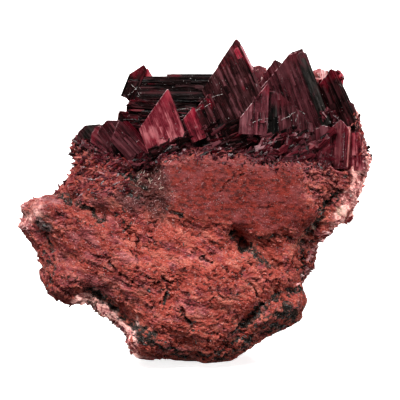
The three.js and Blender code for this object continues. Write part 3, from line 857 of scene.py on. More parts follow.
CRACKS = (
    Crack(((4.4, 15.6), (5.4, 14.2)), 0.6, 0.4),
    Crack(((5.4, 14.6), (6.8, 13.6), (8.4, 11.9)), 0.5, 0.3),
    Crack(((7.0, 15.1), (9.6, 15.4), (11.4, 15.0)), 0.2, 0.35, 0.7),
    Crack(((16.8, 20.3), (15.4, 19.1), (14.6, 17.2), (13.2, 15.6)), 0.62, 0.22),
    Crack(((13.6, 16.2), (12.4, 14.4), (12.8, 12.2), (12.9, 9.6)), 0.5, 0.25, 0.9),
    Crack(((-16.4, 20.5), (-15.0, 19.3)), 0.32, 0.5),
    Crack(((-14.0, 19.1), (-12.4, 18.2), (-11.0, 17.3)), 0.3, 0.55),
    Crack(((-3.2, 18.5), (-1.8, 17.5)), 0.25, 0.4, 0.8),
    Crack(((7.8, 24.1), (10.6, 24.5), (12.6, 24.0)), 0.16, 0.4),
    Crack(((2.3, 20.5), (3.4, 21.5), (4.4, 22.4), (6.4, 22.8)), 0.07, 0.25, 0.5),
    Crack(((5.0, 18.8), (7.2, 18.5), (9.6, 19.1)), 0.06, 0.2, 0.3),
    Crack(((-13.4, 8.7), (-11.0, 7.4), (-9.2, 5.8), (-7.6, 4.2)), 0.7, 0.05, 0.9),
    Crack(((-7.0, 3.6), (-5.4, 2.8), (-3.2, 1.9), (-1.0, 1.4)), 0.6, 0.1, 0.7),
    Crack(((-18.2, 15.5), (-16.9, 12.6), (-17.9, 9.6)), 0.26, 0.45, 0.8),
    Crack(((-5.6, 9.8), (-3.8, 10.3), (-3.2, 8.9), (-3.6, 7.7)), 0.18, 0.5, 0.9),
    Crack(((-7.4, 15.5), (-7.0, 13.8), (-7.2, 11.9)), 0.2, 0.5, 0.5),
    Crack(((-2.2, 6.9), (-1.4, 5.6), (-0.6, 4.4)), 0.22, 0.45, 0.9),
    Crack(((13.4, 9.0), (11.2, 8.9), (9.0, 7.8), (6.4, 5.4), (3.8, 2.8)), 0.75, 0.06, 0.9),
    Crack(((-9.5, 23.3), (-8.3, 22.6), (-7.2, 22.2)), 0.5, 0.35, 0.8),
    Crack(((-8.0, 21.7), (-5.9, 20.9)), 0.4, 0.3, 0.7),
    Crack(((-14.6, 27.2), (-13.1, 28.0), (-11.6, 27.6)), 0.6, 0.3, 1.0),
    Crack(((0.2, 1.0), (2.4, 0.8), (4.6, 1.4)), 0.6, 0.2, 0.8),
    Crack(((-8.6, 15.9), (-8.0, 16.4)), 0.2, 0.3, 0.8),
    Crack(((4.4, 10.6), (6.2, 9.8), (7.2, 8.2)), 0.16, 0.35, 0.5),
    Crack(((-12.6, 13.2), (-10.6, 12.2), (-9.2, 10.8)), 0.18, 0.4, 0.4),
    Crack(((0.4, 12.8), (2.6, 12.1), (3.8, 11.2)), 0.16, 0.4, 0.4),
)


@dataclass(frozen=True)
class Breakage:
    """One scale of the rock's broken surface.

    size is that of its shapes, in mm, and draw which noise they come from. They stand always mm high, by
    broken and grainy more where the rock is so, and plate mm high on the smooth plate.
    """

    size: Place
    draw: int
    always: float = 0.0
    broken: float = 0.0
    grainy: float = 0.0
    plate: float = 0.0

    def height(self, broken: Array, grainy: Array, plate: Array) -> Array:
        """How high it stands, in mm, where the rock is more or less broken, grainy or smooth."""
        rough = self.always + self.broken * broken + self.grainy * grainy
        return plate * self.plate + (1 - plate) * rough


@dataclass(frozen=True)
class Skin:
    """The points of the rock's skin.

    p is across, up and out of each, in mm, and facing how far it faces out of the face, from -1 to 1. wander
    moves edges about, and across and up are the places that it moves them to. front is 1 on the face's side
    and 0 behind, and patchy how well minerals take at each point.
    """

    p: Array
    facing: Array
    wander: Array
    across: Array
    up: Array
    front: Array
    patchy: Array

    @classmethod
    def over(cls, p: Array, facing: Array, seed: int) -> "Skin":
        """Lays out the points.

        Args:
            p: across, up and out of each.
            facing: how far each faces out of the face.
            seed: which irregularities they get.

        Returns:
            The skin.
        """
        wander = np.stack([Noise.layers(p / 1.3, seed + k, 3) for k in (1, 2)], axis=1)
        across, up = (p[:, :2] + 0.55 * wander).T
        patchy = 0.75 + 0.5 * Noise.layers(p / 0.9, seed + 5, 3)
        return cls(p, facing, wander, across, up, ease(p[:, 2], -2.0, 1.0), patchy)

    def covered(self, patches: tuple[Patch, ...]) -> Array:
        """How far some patches cover each point."""
        cover = np.max([one.cover(self.across, self.up) for one in patches], axis=0)
        return np.clip(cover * self.patchy, 0, 1)

    def gap(self, line: Line) -> Array:
        """How far each point is from a line."""
        return gap_to(line, self.across, self.up)


@dataclass
class Rock:
    """The chip of massive erythrite, with its broken, flaky skin.

    voxel is its mesh's step in mm, soften how often its facets are smoothed, and fine how squarely a face
    looks out of the leaning face, from 0 to 1, to be divided once more. What lies hidden mm over the brow,
    under the crystals, isn't: pocket is the middle and half width of that stretch. flat is the size of its
    calmer places, around how many steps of mesh count as around a point, and proud how far a ridge stands out
    of them, in mm. The patches say where each mineral lies, where the rock is grainy or darker wine red, and
    where its rims are pale and glow with painted light.
    """

    voxel: float = 0.315
    soften: int = 3
    fine: float = 0.36
    hidden: float = 1.4
    pocket: Span = (2.0, 14.0)
    flat: Place = (3.4, 1.9, 2.6)
    around: int = 10
    proud: float = 0.10
    seed: int = 40
    ledge: Breakage = Breakage((2.9, 1.1, 1.8), 1, always=0.36)
    chip: Breakage = Breakage((1.7, 0.75, 1.2), 3, broken=0.12)
    crumb: Breakage = Breakage((0.8, 0.38, 0.6), 4, broken=0.08, grainy=0.12, plate=0.030)
    grit: Breakage = Breakage((0.34, 0.26, 0.3), 5, always=0.035, broken=0.02, grainy=0.06, plate=0.012)
    fibre: Breakage = Breakage((1.8, 0.30, 0.8), 6, always=0.04, plate=0.03)
    ore: tuple[Patch, ...] = (
        Patch((9.9, 5.4), (4.6, 2.3), 32, 1.1),
        Patch((5.6, 2.6), (2.6, 1.5), 30),
        Patch((2.0, 0.9), (3.2, 1.0)),
        Patch((-11.2, 7.6), (3.4, 1.2), -36, 1.4),
        Patch((-6.6, 3.8), (3.0, 1.4), -40, 1.3),
        Patch((-2.4, 1.6), (2.4, 0.9), -12, 1.2),
        Patch((-18.6, 16.5), (1.7, 1.1), -50, 1.2),
        Patch((-16.0, 20.2), (1.6, 0.7), -25, 0.9),
        Patch((12.9, 14.2), (1.9, 3.6), -6, 0.75),
        Patch((7.0, 13.2), (2.4, 1.5), -40, 0.7),
        Patch((15.4, 18.6), (1.2, 2.0), -35, 0.8),
        Patch((-13.6, 18.9), (3.4, 0.8), -26, 0.7),
        Patch((-17.6, 12.2), (0.9, 3.6), 8, 0.8),
        Patch((-8.2, 22.6), (1.9, 0.7), -28),
        Patch((-7.6, 20.6), (2.2, 1.4), -10, 0.75),
        Patch((-5.4, 22.8), (0.9, 1.6), -30, 0.8),
        Patch((-3.4, 18.6), (1.4, 0.7), 20, 0.8),
    )
    sugar: tuple[Patch, ...] = (
        Patch((-5.2, 21.0), (2.4, 4.8), 12, 1.8),
        Patch((-7.6, 20.4), (3.0, 2.8), 0, 1.5),
        Patch((-10.6, 19.2), (2.6, 1.2), -8, 0.8),
    )
    cream: tuple[Patch, ...] = (
        Patch((-5.6, 22.0), (0.45, 0.25), -40),
        Patch((17.2, 18.2), (0.7, 1.0), 30),
        Patch((6.8, 13.4), (0.4, 0.4)),
        Patch((14.1, 16.4), (0.4, 0.7), 20),
    )
    pale: tuple[Patch, ...] = (
        Patch((20.2, 22.6), (1.9, 5.0), -10),
        Patch((18.2, 18.2), (2.6, 1.6), 40),
        Patch((-19.6, 18.7), (2.4, 1.3), 6, 0.38),
        Patch((-20.6, 17.4), (1.2, 1.2), 0, 0.5),
        Patch((-8.0, 3.2), (1.7, 0.8), -45),
        Patch((-15.2, 25.6), (0.9, 2.6), 0, 0.8),
    )
    grey: tuple[Patch, ...] = (Patch((-18.4, 16.8), (1.7, 1.1), -35), Patch((-9.0, 23.0), (1.4, 0.7), -30))
    grainy: tuple[Patch, ...] = (Patch((-12.4, 24.4), (3.4, 3.4), 0), Patch((14.9, 21.9), (2.6, 3.2), 0))
    wine: tuple[Patch, ...] = (Patch((-10.6, 24.2), (2.6, 1.6), -40), Patch((-13.2, 26.8), (2.0, 1.2), 0))
    piece: bpy.types.Object | None = None
    tree: BVHTree | None = None
    masks: dict[str, Array] = field(default_factory=dict)

    def layered(self, places: Array, size: float | Place, draw: int, count: int) -> Array:
        """The rock's own noise, with lumps of some size in mm."""
        return Noise.layers(places / np.array(size), self.seed + draw, count)

    def remeshed(self) -> Mesh:
        """Lays an even mesh over a copy of the solid, with its facets softened.

        Returns:
            The mesh.
        """
        shape = bmesh.new()
        shape.from_mesh(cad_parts["matrix"].data)
        bmesh.ops.remove_doubles(shape, verts=shape.verts, dist=1e-7)
        copy = bpy.data.meshes.new("rock_copy")
        shape.to_mesh(copy)
        shape.free()
        holder = bpy.data.objects.new("rock_copy", copy)
        bpy.context.scene.collection.objects.link(holder)
        even = holder.modifiers.new("even", "REMESH")
        even.mode = "VOXEL"
        even.voxel_size = self.voxel * MM
        soft = holder.modifiers.new("soft", "SMOOTH")
        soft.factor = 0.5
        soft.iterations = self.soften
        done = bpy.data.meshes.new_from_object(holder.evaluated_get(bpy.context.evaluated_depsgraph_get()))
        bpy.data.objects.remove(holder)
        bpy.data.meshes.remove(copy)
        return done

    def divide(self, mesh: Mesh) -> None:
        """Makes the mesh finer in front, where the crystals don't hide it.

        Args:
            mesh: the skin.
        """
        shape = bmesh.new()
        shape.from_mesh(mesh)
        outward = FACE.outward()
        centres = FACE.read(np.array([face.calc_center_median() for face in shape.faces]))
        across, up = centres[:, 0], centres[:, 1]
        middle, half = self.pocket
        covered = (height_over(BROW, across, up) > self.hidden) & (np.abs(across - middle) < half)
        open_faces = [face for face, under in zip(shape.faces, covered) if not under]
        seen = {edge for face in open_faces if face.normal.dot(outward) > self.fine for edge in face.edges}
        bmesh.ops.subdivide_edges(shape, edges=list(seen), cuts=1, use_grid_fill=True, smooth=0.2)
        bmesh.ops.triangulate(shape, faces=[face for face in shape.faces if len(face.verts) > 4])
        shape.to_mesh(mesh)
        shape.free()

    def pale_rims(self, skin: Skin) -> Array:
        """Where the rock is pale at its thin rims, which glow there with painted light shining through.

        Args:
            skin: the rock's points.

        Returns:
            How pale it is at each, from 0 to 1.
        """
        torn = 1.6 * self.layered(skin.p, 1.7, 32, 4)
        rims = np.minimum(skin.gap(RIGHT_RIM) - 0.5, skin.gap(LOWER_RIM) - 0.3) + torn
        pale = np.maximum(1.3 * skin.covered(self.pale), (1 - ease(rims, 0.5, 1.5)) * (0.7 + skin.patchy))
        behind = ease(skin.p[:, 2] + 7.0 * self.layered(skin.p, 2.4, 31, 5), -4.0, -0.5)
        turned = ease(skin.facing + 1.3 * self.layered(skin.p, 1.5, 33, 4), -0.3, 0.15)
        return np.clip(pale, 0, 1) * (behind * turned)

    def veins(self, skin: Skin) -> Array:
        """Where dark ore lies: in the cracks, in lobes, in specks, and in patches behind.

        Args:
            skin: the rock's points.

        Returns:
            How fully it covers each, from 0 to 1.
        """
        p = skin.p
        ragged = 0.34 * self.layered(p, 0.55, 14, 3)
        cracks = np.zeros(len(p))
        for crack in CRACKS:
            filled = crack.ore * (1 - ease(skin.gap(crack.line) + ragged, crack.half * 0.6, crack.half * 1.3))
            cracks = np.maximum(cracks, filled)
        lobes = skin.covered(self.ore) * (0.45 + 0.55 * ease(self.layered(p, 0.75, 9, 4), -0.25, 0.05))
        behind = 0.8 * ease(-p[:, 2], 1.0, 4.0) * ease(self.layered(p, 3.1, 30, 4), 0.12, 0.42)
        specks = ease(self.layered(p, (0.8, 0.45, 0.6), 12, 3), 0.37, 0.52)
        specks *= ease(self.layered(p, 3.3, 13, 2), -0.25, 0.35) * 0.8 * (1 - self.masks["plate"])
        in_front = np.maximum(cracks * skin.patchy, lobes) * skin.front
        ore = np.maximum(np.clip(np.maximum(in_front, behind), 0, 1), specks)
        return ore * ease(skin.gap(LOWER_RIM), 0.5, 1.2)

    def mark(self, skin: Skin) -> None:
        """Lays out where each kind of mineral lies, where the rock is calm or grainy, where it is darker or
        lighter, and where it gets painted shade in the pocket and painted light on its pale rims.

        Args:
            skin: the rock's points.
        """
        across, up, front = skin.across, skin.up, skin.front
        edge = skin.gap(PLATE)
        inside = np.where(enclosed(PLATE, across, up), edge, -edge) + 0.7 * skin.wander[:, 0]
        over_brow = height_over(BROW, across, up)
        pocket = ease(over_brow + 0.6 * skin.wander[:, 1], -1.3, 0.8)
        upper = ease(up + 1.5 * skin.wander[:, 1], 14.5, 22.0)
        along_flakes = np.stack([across + 0.4 * up, up - 0.4 * across, skin.p[:, 2]], axis=1)
        flats = self.layered(along_flakes, self.flat, 18, 3)
        self.masks["plate"] = front * ease(inside, -0.9, 1.3)
        # dark wine red over the pocket behind the brow is painted shade under the crystals; the wine patches
        # darken two places at the upper left
        self.masks["wine"] = np.maximum(pocket, skin.covered(self.wine)) * front
        self.masks["brow"] = front * (1 - ease(np.abs(over_brow + 0.6), 0.5, 1.7))
        self.masks["rich"] = np.maximum(upper, 0.85 * ease(-across, 5.0, 13.0)) * np.clip(skin.patchy, 0, 1)
        self.masks["calm"] = ease(flats, -0.20, 0.12) * (1 - skin.covered(self.grainy))
        self.masks["sugar"] = skin.covered(self.sugar) * front * 0.9
        self.masks["cream"] = skin.covered(self.cream) * front
        self.masks["pale"] = self.pale_rims(skin)
        self.masks["grey"] = skin.covered(self.grey) * front
        self.masks["ore"] = self.veins(skin)
        self.masks["grainy"] = skin.covered(self.grainy) * front

    def terraces(self, places: Array) -> Array:
        """The flat ledges that the rock has split into.

        Args:
            places: one row for each place, laid along the flakes.

        Returns:
            A height from about -1 to 1 for each.
        """
        levels = 3.0
        height = self.layered(places, self.ledge.size, self.ledge.draw, 3) * levels
        step = np.floor(height)
        return (step + ease(height - step, 0.1, 0.45)) / levels

    def broken(self, p: Array, warp: Array) -> Array:
        """The relief of ledges, chips, crumbs, grit and fibres.

        Args:
            p: across, up and out of each point, in mm.
            warp: how far its pattern is bent there.

        Returns:
            How far each point stands out, in mm.
        """
        plate, grainy = self.masks["plate"], self.masks["grainy"]
        broken = 1 - 0.78 * self.masks["calm"]
        slope = math.radians(CLEAVAGE)
        along = p[:, 0] * math.cos(slope) - p[:, 1] * math.sin(slope)
        over = p[:, 0] * math.sin(slope) + p[:, 1] * math.cos(slope)
        bent = np.stack([along, over, p[:, 2]], axis=1) + 0.6 * warp
        chips, joint = Noise.chips(bent / self.chip.size, self.seed + self.chip.draw)
        crumbs, seam = Noise.chips(bent / self.crumb.size, self.seed + self.crumb.draw)
        grit, _ = Noise.chips(p / self.grit.size, self.seed + self.grit.draw)
        fibres = self.layered(p, self.fibre.size, self.fibre.draw, 3)
        patterns = (
            (self.ledge, self.terraces(bent)),
            (self.chip, chips),
            (self.crumb, crumbs),
            (self.grit, grit),
            (self.fibre, fibres),
        )
        total = sum(pattern * scale.height(broken, grainy, plate) for scale, pattern in patterns)
        joints = 0.08 * (1 - ease(joint, 0.0, 0.14)) + 0.06 * (1 - ease(seam, 0.0, 0.16))
        return total - (1 - plate) * broken * joints + plate * 0.18 * self.layered(p, 1.9, 8, 3)

    def relief(self, p: Array) -> Array:
        """How far the broken surface stands out of the plain solid.

        Args:
            p: across, up and out of each point, in mm.

        Returns:
            A height for each, in mm, less than 0 in the cracks.
        """
        warp = np.stack([self.layered(p, 1.7, 20 + k, 3) for k in range(3)], axis=1)
        total = self.broken(p, warp)
        pitted = 0.03 + 0.26 * Noise.lumps(p / 0.36, self.seed + 17)
        total -= pitted * self.masks["ore"] * (1 - 0.5 * self.masks["plate"])
        across, up = (p[:, :2] + 0.5 * warp[:, :2]).T
        ragged = 0.30 * self.layered(p, 0.6, 15, 4)
        torn = 0.25 + 0.75 * ease(self.layered(p, 0.9, 16, 3), -0.25, 0.20)
        for crack in CRACKS:
            gap = gap_to(crack.line, across, up) + ragged
            depth = crack.depth * (1 - ease(gap, crack.half * 0.1, crack.half * 1.4))
            total -= ease(p[:, 2], -1.0, 1.0) * torn * depth
        return total

    def stand_out(self, mesh: Mesh, heights: Array) -> Array:
        """How far each point stands out of what lies around it.

        Args:
            mesh: the skin.
            heights: how far each of its points is moved, in mm.

        Returns:
            About 1 on a ridge and -1 in a hollow.
        """
        ends = values(mesh.edges, "vertices", 2, np.int32)
        joined = np.bincount(ends.ravel(), minlength=len(heights))
        around = heights
        for _ in range(self.around):
            total = np.bincount(ends[:, 0], around[ends[:, 1]], len(heights))
            total += np.bincount(ends[:, 1], around[ends[:, 0]], len(heights))
            around = total / np.maximum(joined, 1)
        return np.clip((heights - around) / self.proud, -2, 2)

    def raise_skin(self, mesh: Mesh) -> None:
        """Gives the mesh its relief, and works out the masks.

        Args:
            mesh: the skin.
        """
        places, normals = values(mesh.vertices, "co", 3), values(mesh.vertex_normals, "vector", 3)
        p = FACE.read(places)
        self.mark(Skin.over(p, normals @ np.array(FACE.outward()), self.seed))
        heights = self.relief(p)
        # how far each point stands out; the rock's material paints shade into hollows and light onto ridges
        # from it
        self.masks["high"] = self.stand_out(mesh, heights)
        self.masks["ore"] *= 1 - 0.45 * np.clip(self.masks["high"], 0, 1)
        off_foot = ease(places[:, 2] / MM, 0.1, 0.7)
        places += normals * (heights * off_foot * MM)[:, None]
        low, high = (np.array(corner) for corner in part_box("matrix"))
        mesh.vertices.foreach_set("co", np.clip(places, low, high).ravel())

    def build(self) -> None:
        """Makes the piece that shows the rock."""
        mesh = self.remeshed()
        self.divide(mesh)
        self.raise_skin(mesh)
        for name, cover in self.masks.items():
            layer = mesh.attributes.new(name, "FLOAT", "POINT")
            layer.data.foreach_set("value", cover.astype(np.float32))
        mesh.polygons.foreach_set("use_smooth", [False] * len(mesh.polygons))
        mesh.materials.clear()
        mesh.materials.append(RockFinish().make("massive_erythrite"))
        mesh.update()
        self.piece = dress("erythrite_rock", mesh, "massive_erythrite", "matrix")
        shape = bmesh.new()
        shape.from_mesh(mesh)
        self.tree = BVHTree.FromBMesh(shape)
        shape.free()


# ------------ the crystals


@dataclass(frozen=True)
class Blade:
    """One crystal: its tip on the face, how it leans, and the shape of its end.

    tilt is how many degrees its growth leans to the left of up, and turn how far it is turned about its
    growth to show its right side. The blade spreads left and right of its tip, and its end falls away by
    cut_left and cut_right degrees on each side, and by rear of its depth towards the back. It has as many
    columns as ribs, which stand up to step mm apart, with lands of about land mm between their grooves. blunt
    is how much of its tip is missing, crowd how many slivers grow on each square mm, and rim how wide the
    cut along its end is that carries a painted highlight in pale pink.
    """

    tip: Place
    tilt: float
    left: float
    length: float
    depth: float
    tone: Tone
    turn: float = 10
    right: float = 0.0
    cut_left: float = 32
    cut_right: float = 50
    rear: float = -0.3
    ribs: int = 3
    step: float = 0.3
    blunt: float = 0.15
    land: float = 0.32
    crowd: float = 0.45
    rim: float = 0.05

    GROOVE = 0.12  # the deepest groove between two lands, in mm
    OVERLAP = 0.01  # columns reach this far into one another, in mm
    SHARP = 0.6  # edges sharper than this, in radians, are worn
    SHORTEST = 0.3  # and only those longer than this, in mm

    def matrix(self) -> Matrix:
        """Takes the blade's own frame (across, growth, out, in mm) to the part's, in metres.

        Returns:
            The matrix that does so.
        """
        t, q = math.radians(self.tilt), math.radians(self.turn)
        growth = Vector((-math.sin(t), math.cos(t), 0))
        side = Vector((math.cos(t) * math.cos(q), math.sin(t) * math.cos(q), math.sin(q)))
        front = side.cross(growth)
        turned = Matrix((side, growth, front)).transposed().to_4x4()
        return FACE.matrix() @ Matrix.Translation(self.tip) @ turned

    def edges(self, draw: Draw) -> list[float]:
        """Where the columns of the blade meet.

        Args:
            draw: the source of its irregularities.

        Returns:
            The places across, from left to right, with the blade's own edges at the ends.
        """
        width = self.left + self.right
        inner = []
        for i in range(1, self.ribs):
            inner.append(-self.left + width * (i + 0.5 * (draw.random() - 0.5)) / self.ribs)
        if self.left > 0 and self.right > 0 and inner:
            nearest = min(range(len(inner)), key=lambda i: abs(inner[i]))
            inner[nearest] = 0.0
        return [-self.left, *sorted(inner), self.right]

    def outline(self, sides: Span, levels: Span, draw: Draw) -> list[Span]:
        """The cross-section of a striated column, with lands and grooves.

        Args:
            sides: its left and right edges.
            levels: the levels of its front and back.
            draw: the source of its irregularities.

        Returns:
            Its corners, across and out, in order.
        """
        (a0, a1), (fore, aft) = sides, levels
        lands = max(1, round((a1 - a0) / self.land))
        stops = [a0 + (a1 - a0) * i / lands for i in range(lands + 1)]
        stops[1:-1] = [stop + 0.4 * (draw.random() - 0.5) * self.land for stop in stops[1:-1]]
        fall = min(self.GROOVE, 0.3 * (fore - aft))
        corners: list[Span] = []
        for start, stop in zip(stops, stops[1:]):
            level = fore - fall * draw.random() ** 2
            corners += [(start, level), (stop, level - 0.3 * fall * draw.random())]
        for start, stop in zip(reversed(stops[1:]), reversed(stops[:-1])):
            level = aft + fall * draw.random()
            corners += [(start, level), (stop, level + 0.1 * fall)]
        return corners

    def prism(self, sides: Span, levels: Span, foot: float, peak: Span, draw: Draw, rim: float = 0) -> Shape:
        """One striated column, cut to the shape of the blade's end.

        Args:
            sides: its left and right edges.
            levels: the levels of its front and back.
            foot: how far down its lower end is.
            peak: where its end is highest, across and along the growth.
            draw: the source of its irregularities.
            rim: how deep the edge of its end is cut for its painted highlight.

        Returns:
            A closed body in the blade's own frame, with the faces of its painted edge highlight marked by
            material 1.
        """
        shape = bmesh.new()
        base = shape.faces.new([shape.verts.new((a, -foot, d)) for a, d in self.outline(sides, levels, draw)])
        top = bmesh.ops.extrude_face_region(shape, geom=[base])["geom"]
        rise = [v for v in top if isinstance(v, bmesh.types.BMVert)]
        bmesh.ops.translate(shape, verts=rise, vec=(0, foot + 1, 0))
        bmesh.ops.recalc_face_normals(shape, faces=shape.faces)
        back = Vector((0, self.rear, -1))
        across, along = peak
        fore, _ = levels
        cuts = [(Vector((across, along - self.blunt, 0)), Vector((1, 0, 0)).cross(back))]
        for cut, way in ((self.cut_left, -1), (self.cut_right, 1)):
            slope = Vector((way * math.cos(math.radians(cut)), -math.sin(math.radians(cut)), 0))
            cuts.append((Vector((across, along, 0)), slope.cross(back)))
        cuts = [(at, normal.normalized() * (1 if normal.y > 0 else -1)) for at, normal in cuts]
        for at, normal in cuts:
            self.slice(shape, at, normal)
        for at, normal in cuts if rim else ():
            edge = (normal + Vector((0, 0, 1))).normalized()
            corner = at + Vector((0, -self.rear, 1)) * fore
            self.slice(shape, corner - edge * rim, edge, 1)
        return shape

    @staticmethod
    def slice(shape: Shape, at: Vector, normal: Vector, finish: int = 0) -> None:
        """Cuts away what lies beyond a plane, and closes the cut.

        Args:
            shape: the body to cut.
            at: a point of the plane.
            normal: the side that is cut away.
            finish: the material of the new face.
        """
        parts = [*shape.verts, *shape.edges, *shape.faces]
        bmesh.ops.bisect_plane(shape, geom=parts, plane_co=at, plane_no=normal, clear_outer=True)
        rim = [e for e in shape.edges if e.is_boundary]
        if rim:
            for face in bmesh.ops.holes_fill(shape, edges=rim, sides=0)["faces"]:
                face.material_index = finish

    def columns(self, draw: Draw) -> list[Shape]:
        """The columns side by side that make up the blade.

        Args:
            draw: the source of their irregularities.

        Returns:
            A closed body for each.
        """
        stops = self.edges(draw)
        made = []
        for a0, a1 in zip(stops, stops[1:]):
            fore = -self.step * 0.7 * draw.random()
            aft = -self.depth + self.step * draw.random()
            drop = self.step * 0.6 * draw.random()
            sides = (a0 - self.OVERLAP, a1 + self.OVERLAP)
            made.append(self.prism(sides, (fore, aft), self.length, (0.0, -drop), draw, self.rim))
        return made

    def slivers(self, draw: Draw) -> list[Shape]:
        """Thin crystals grown flat on the blade's front and back.

        Args:
            draw: the source of their irregularities.

        Returns:
            A closed body for each.
        """
        made = []
        width = self.left + self.right
        for _ in range(round(self.crowd * width * self.length)):
            half = 0.07 + 0.22 * draw.random() ** 1.5
            across = -self.left + half + (width - 2 * half) * draw.random()
            cut = self.cut_left if across < 0 else self.cut_right
            line = -abs(across) * math.tan(math.radians(cut)) - 0.15
            along = line - (self.length * 0.8 + line) * draw.random() ** 1.2
            foot = min(self.length, -along + 0.5 + 3.5 * draw.random())
            proud = 0.02 + 0.10 * draw.random() ** 2
            front = draw.random() < 0.7
            levels = (proud, -0.5) if front else (0.5 - self.depth, -self.depth - proud)
            if foot > -along + 0.3:
                made.append(self.prism((across - half, across + half), levels, foot, (across, along), draw))
        return made

    def wear(self, part: Shape, width: float) -> None:
        """Takes the edge off a column, but for the painted highlight along its end.

        Args:
            part: the column.
            width: how much is worn off, in mm.
        """
        plain = [e for e in part.edges if not any(face.material_index for face in e.link_faces)]
        keen = [e for e in plain if e.is_manifold and e.calc_face_angle(0) > self.SHARP]
        bmesh.ops.bevel(
            part,
            geom=[e for e in keen if e.calc_length() > self.SHORTEST],
            offset=width,
            offset_type="OFFSET",
            segments=1,
            profile=0.5,
            affect="EDGES",
            clamp_overlap=True,
            material=-1,
        )

    def build(self, seed: int) -> Shape:
        """The whole blade, in place, with the coordinates that its streaks follow.

        Args:
            seed: which irregularities it gets.

        Returns:
            Closed bodies side by side, with the faces of their painted edge highlights marked by material 1.
        """
        draw = np.random.default_rng(seed)
        whole = bmesh.new()
        grain = whole.verts.layers.float_vector.new("grain")
        tint = whole.verts.layers.float.new("tint")
        holder = bpy.data.meshes.new("column")
        columns, slivers = self.columns(draw), self.slivers(draw)
        for i, part in enumerate([*columns, *slivers]):
            sliver = i >= len(columns)
            self.wear(part, 0.022 if sliver else 0.065)
            part.to_mesh(holder)
            part.free()
            start = len(whole.verts)
            whole.from_mesh(holder)
            whole.verts.ensure_lookup_table()
            shade = (1.1 if sliver else 0.7) * (2 * draw.random() - 1)
            shift = (draw.random() * 9, 0, draw.random() * 9) if sliver else (seed % 50, 0, 0)
            for vert in whole.verts[start:]:
                vert[grain] = vert.co + Vector(shift)
                vert[tint] = shade
        bpy.data.meshes.remove(holder)
        bmesh.ops.transform(whole, matrix=self.matrix(), verts=whole.verts)
        bmesh.ops.recalc_face_normals(whole, faces=whole.faces)
        return whole


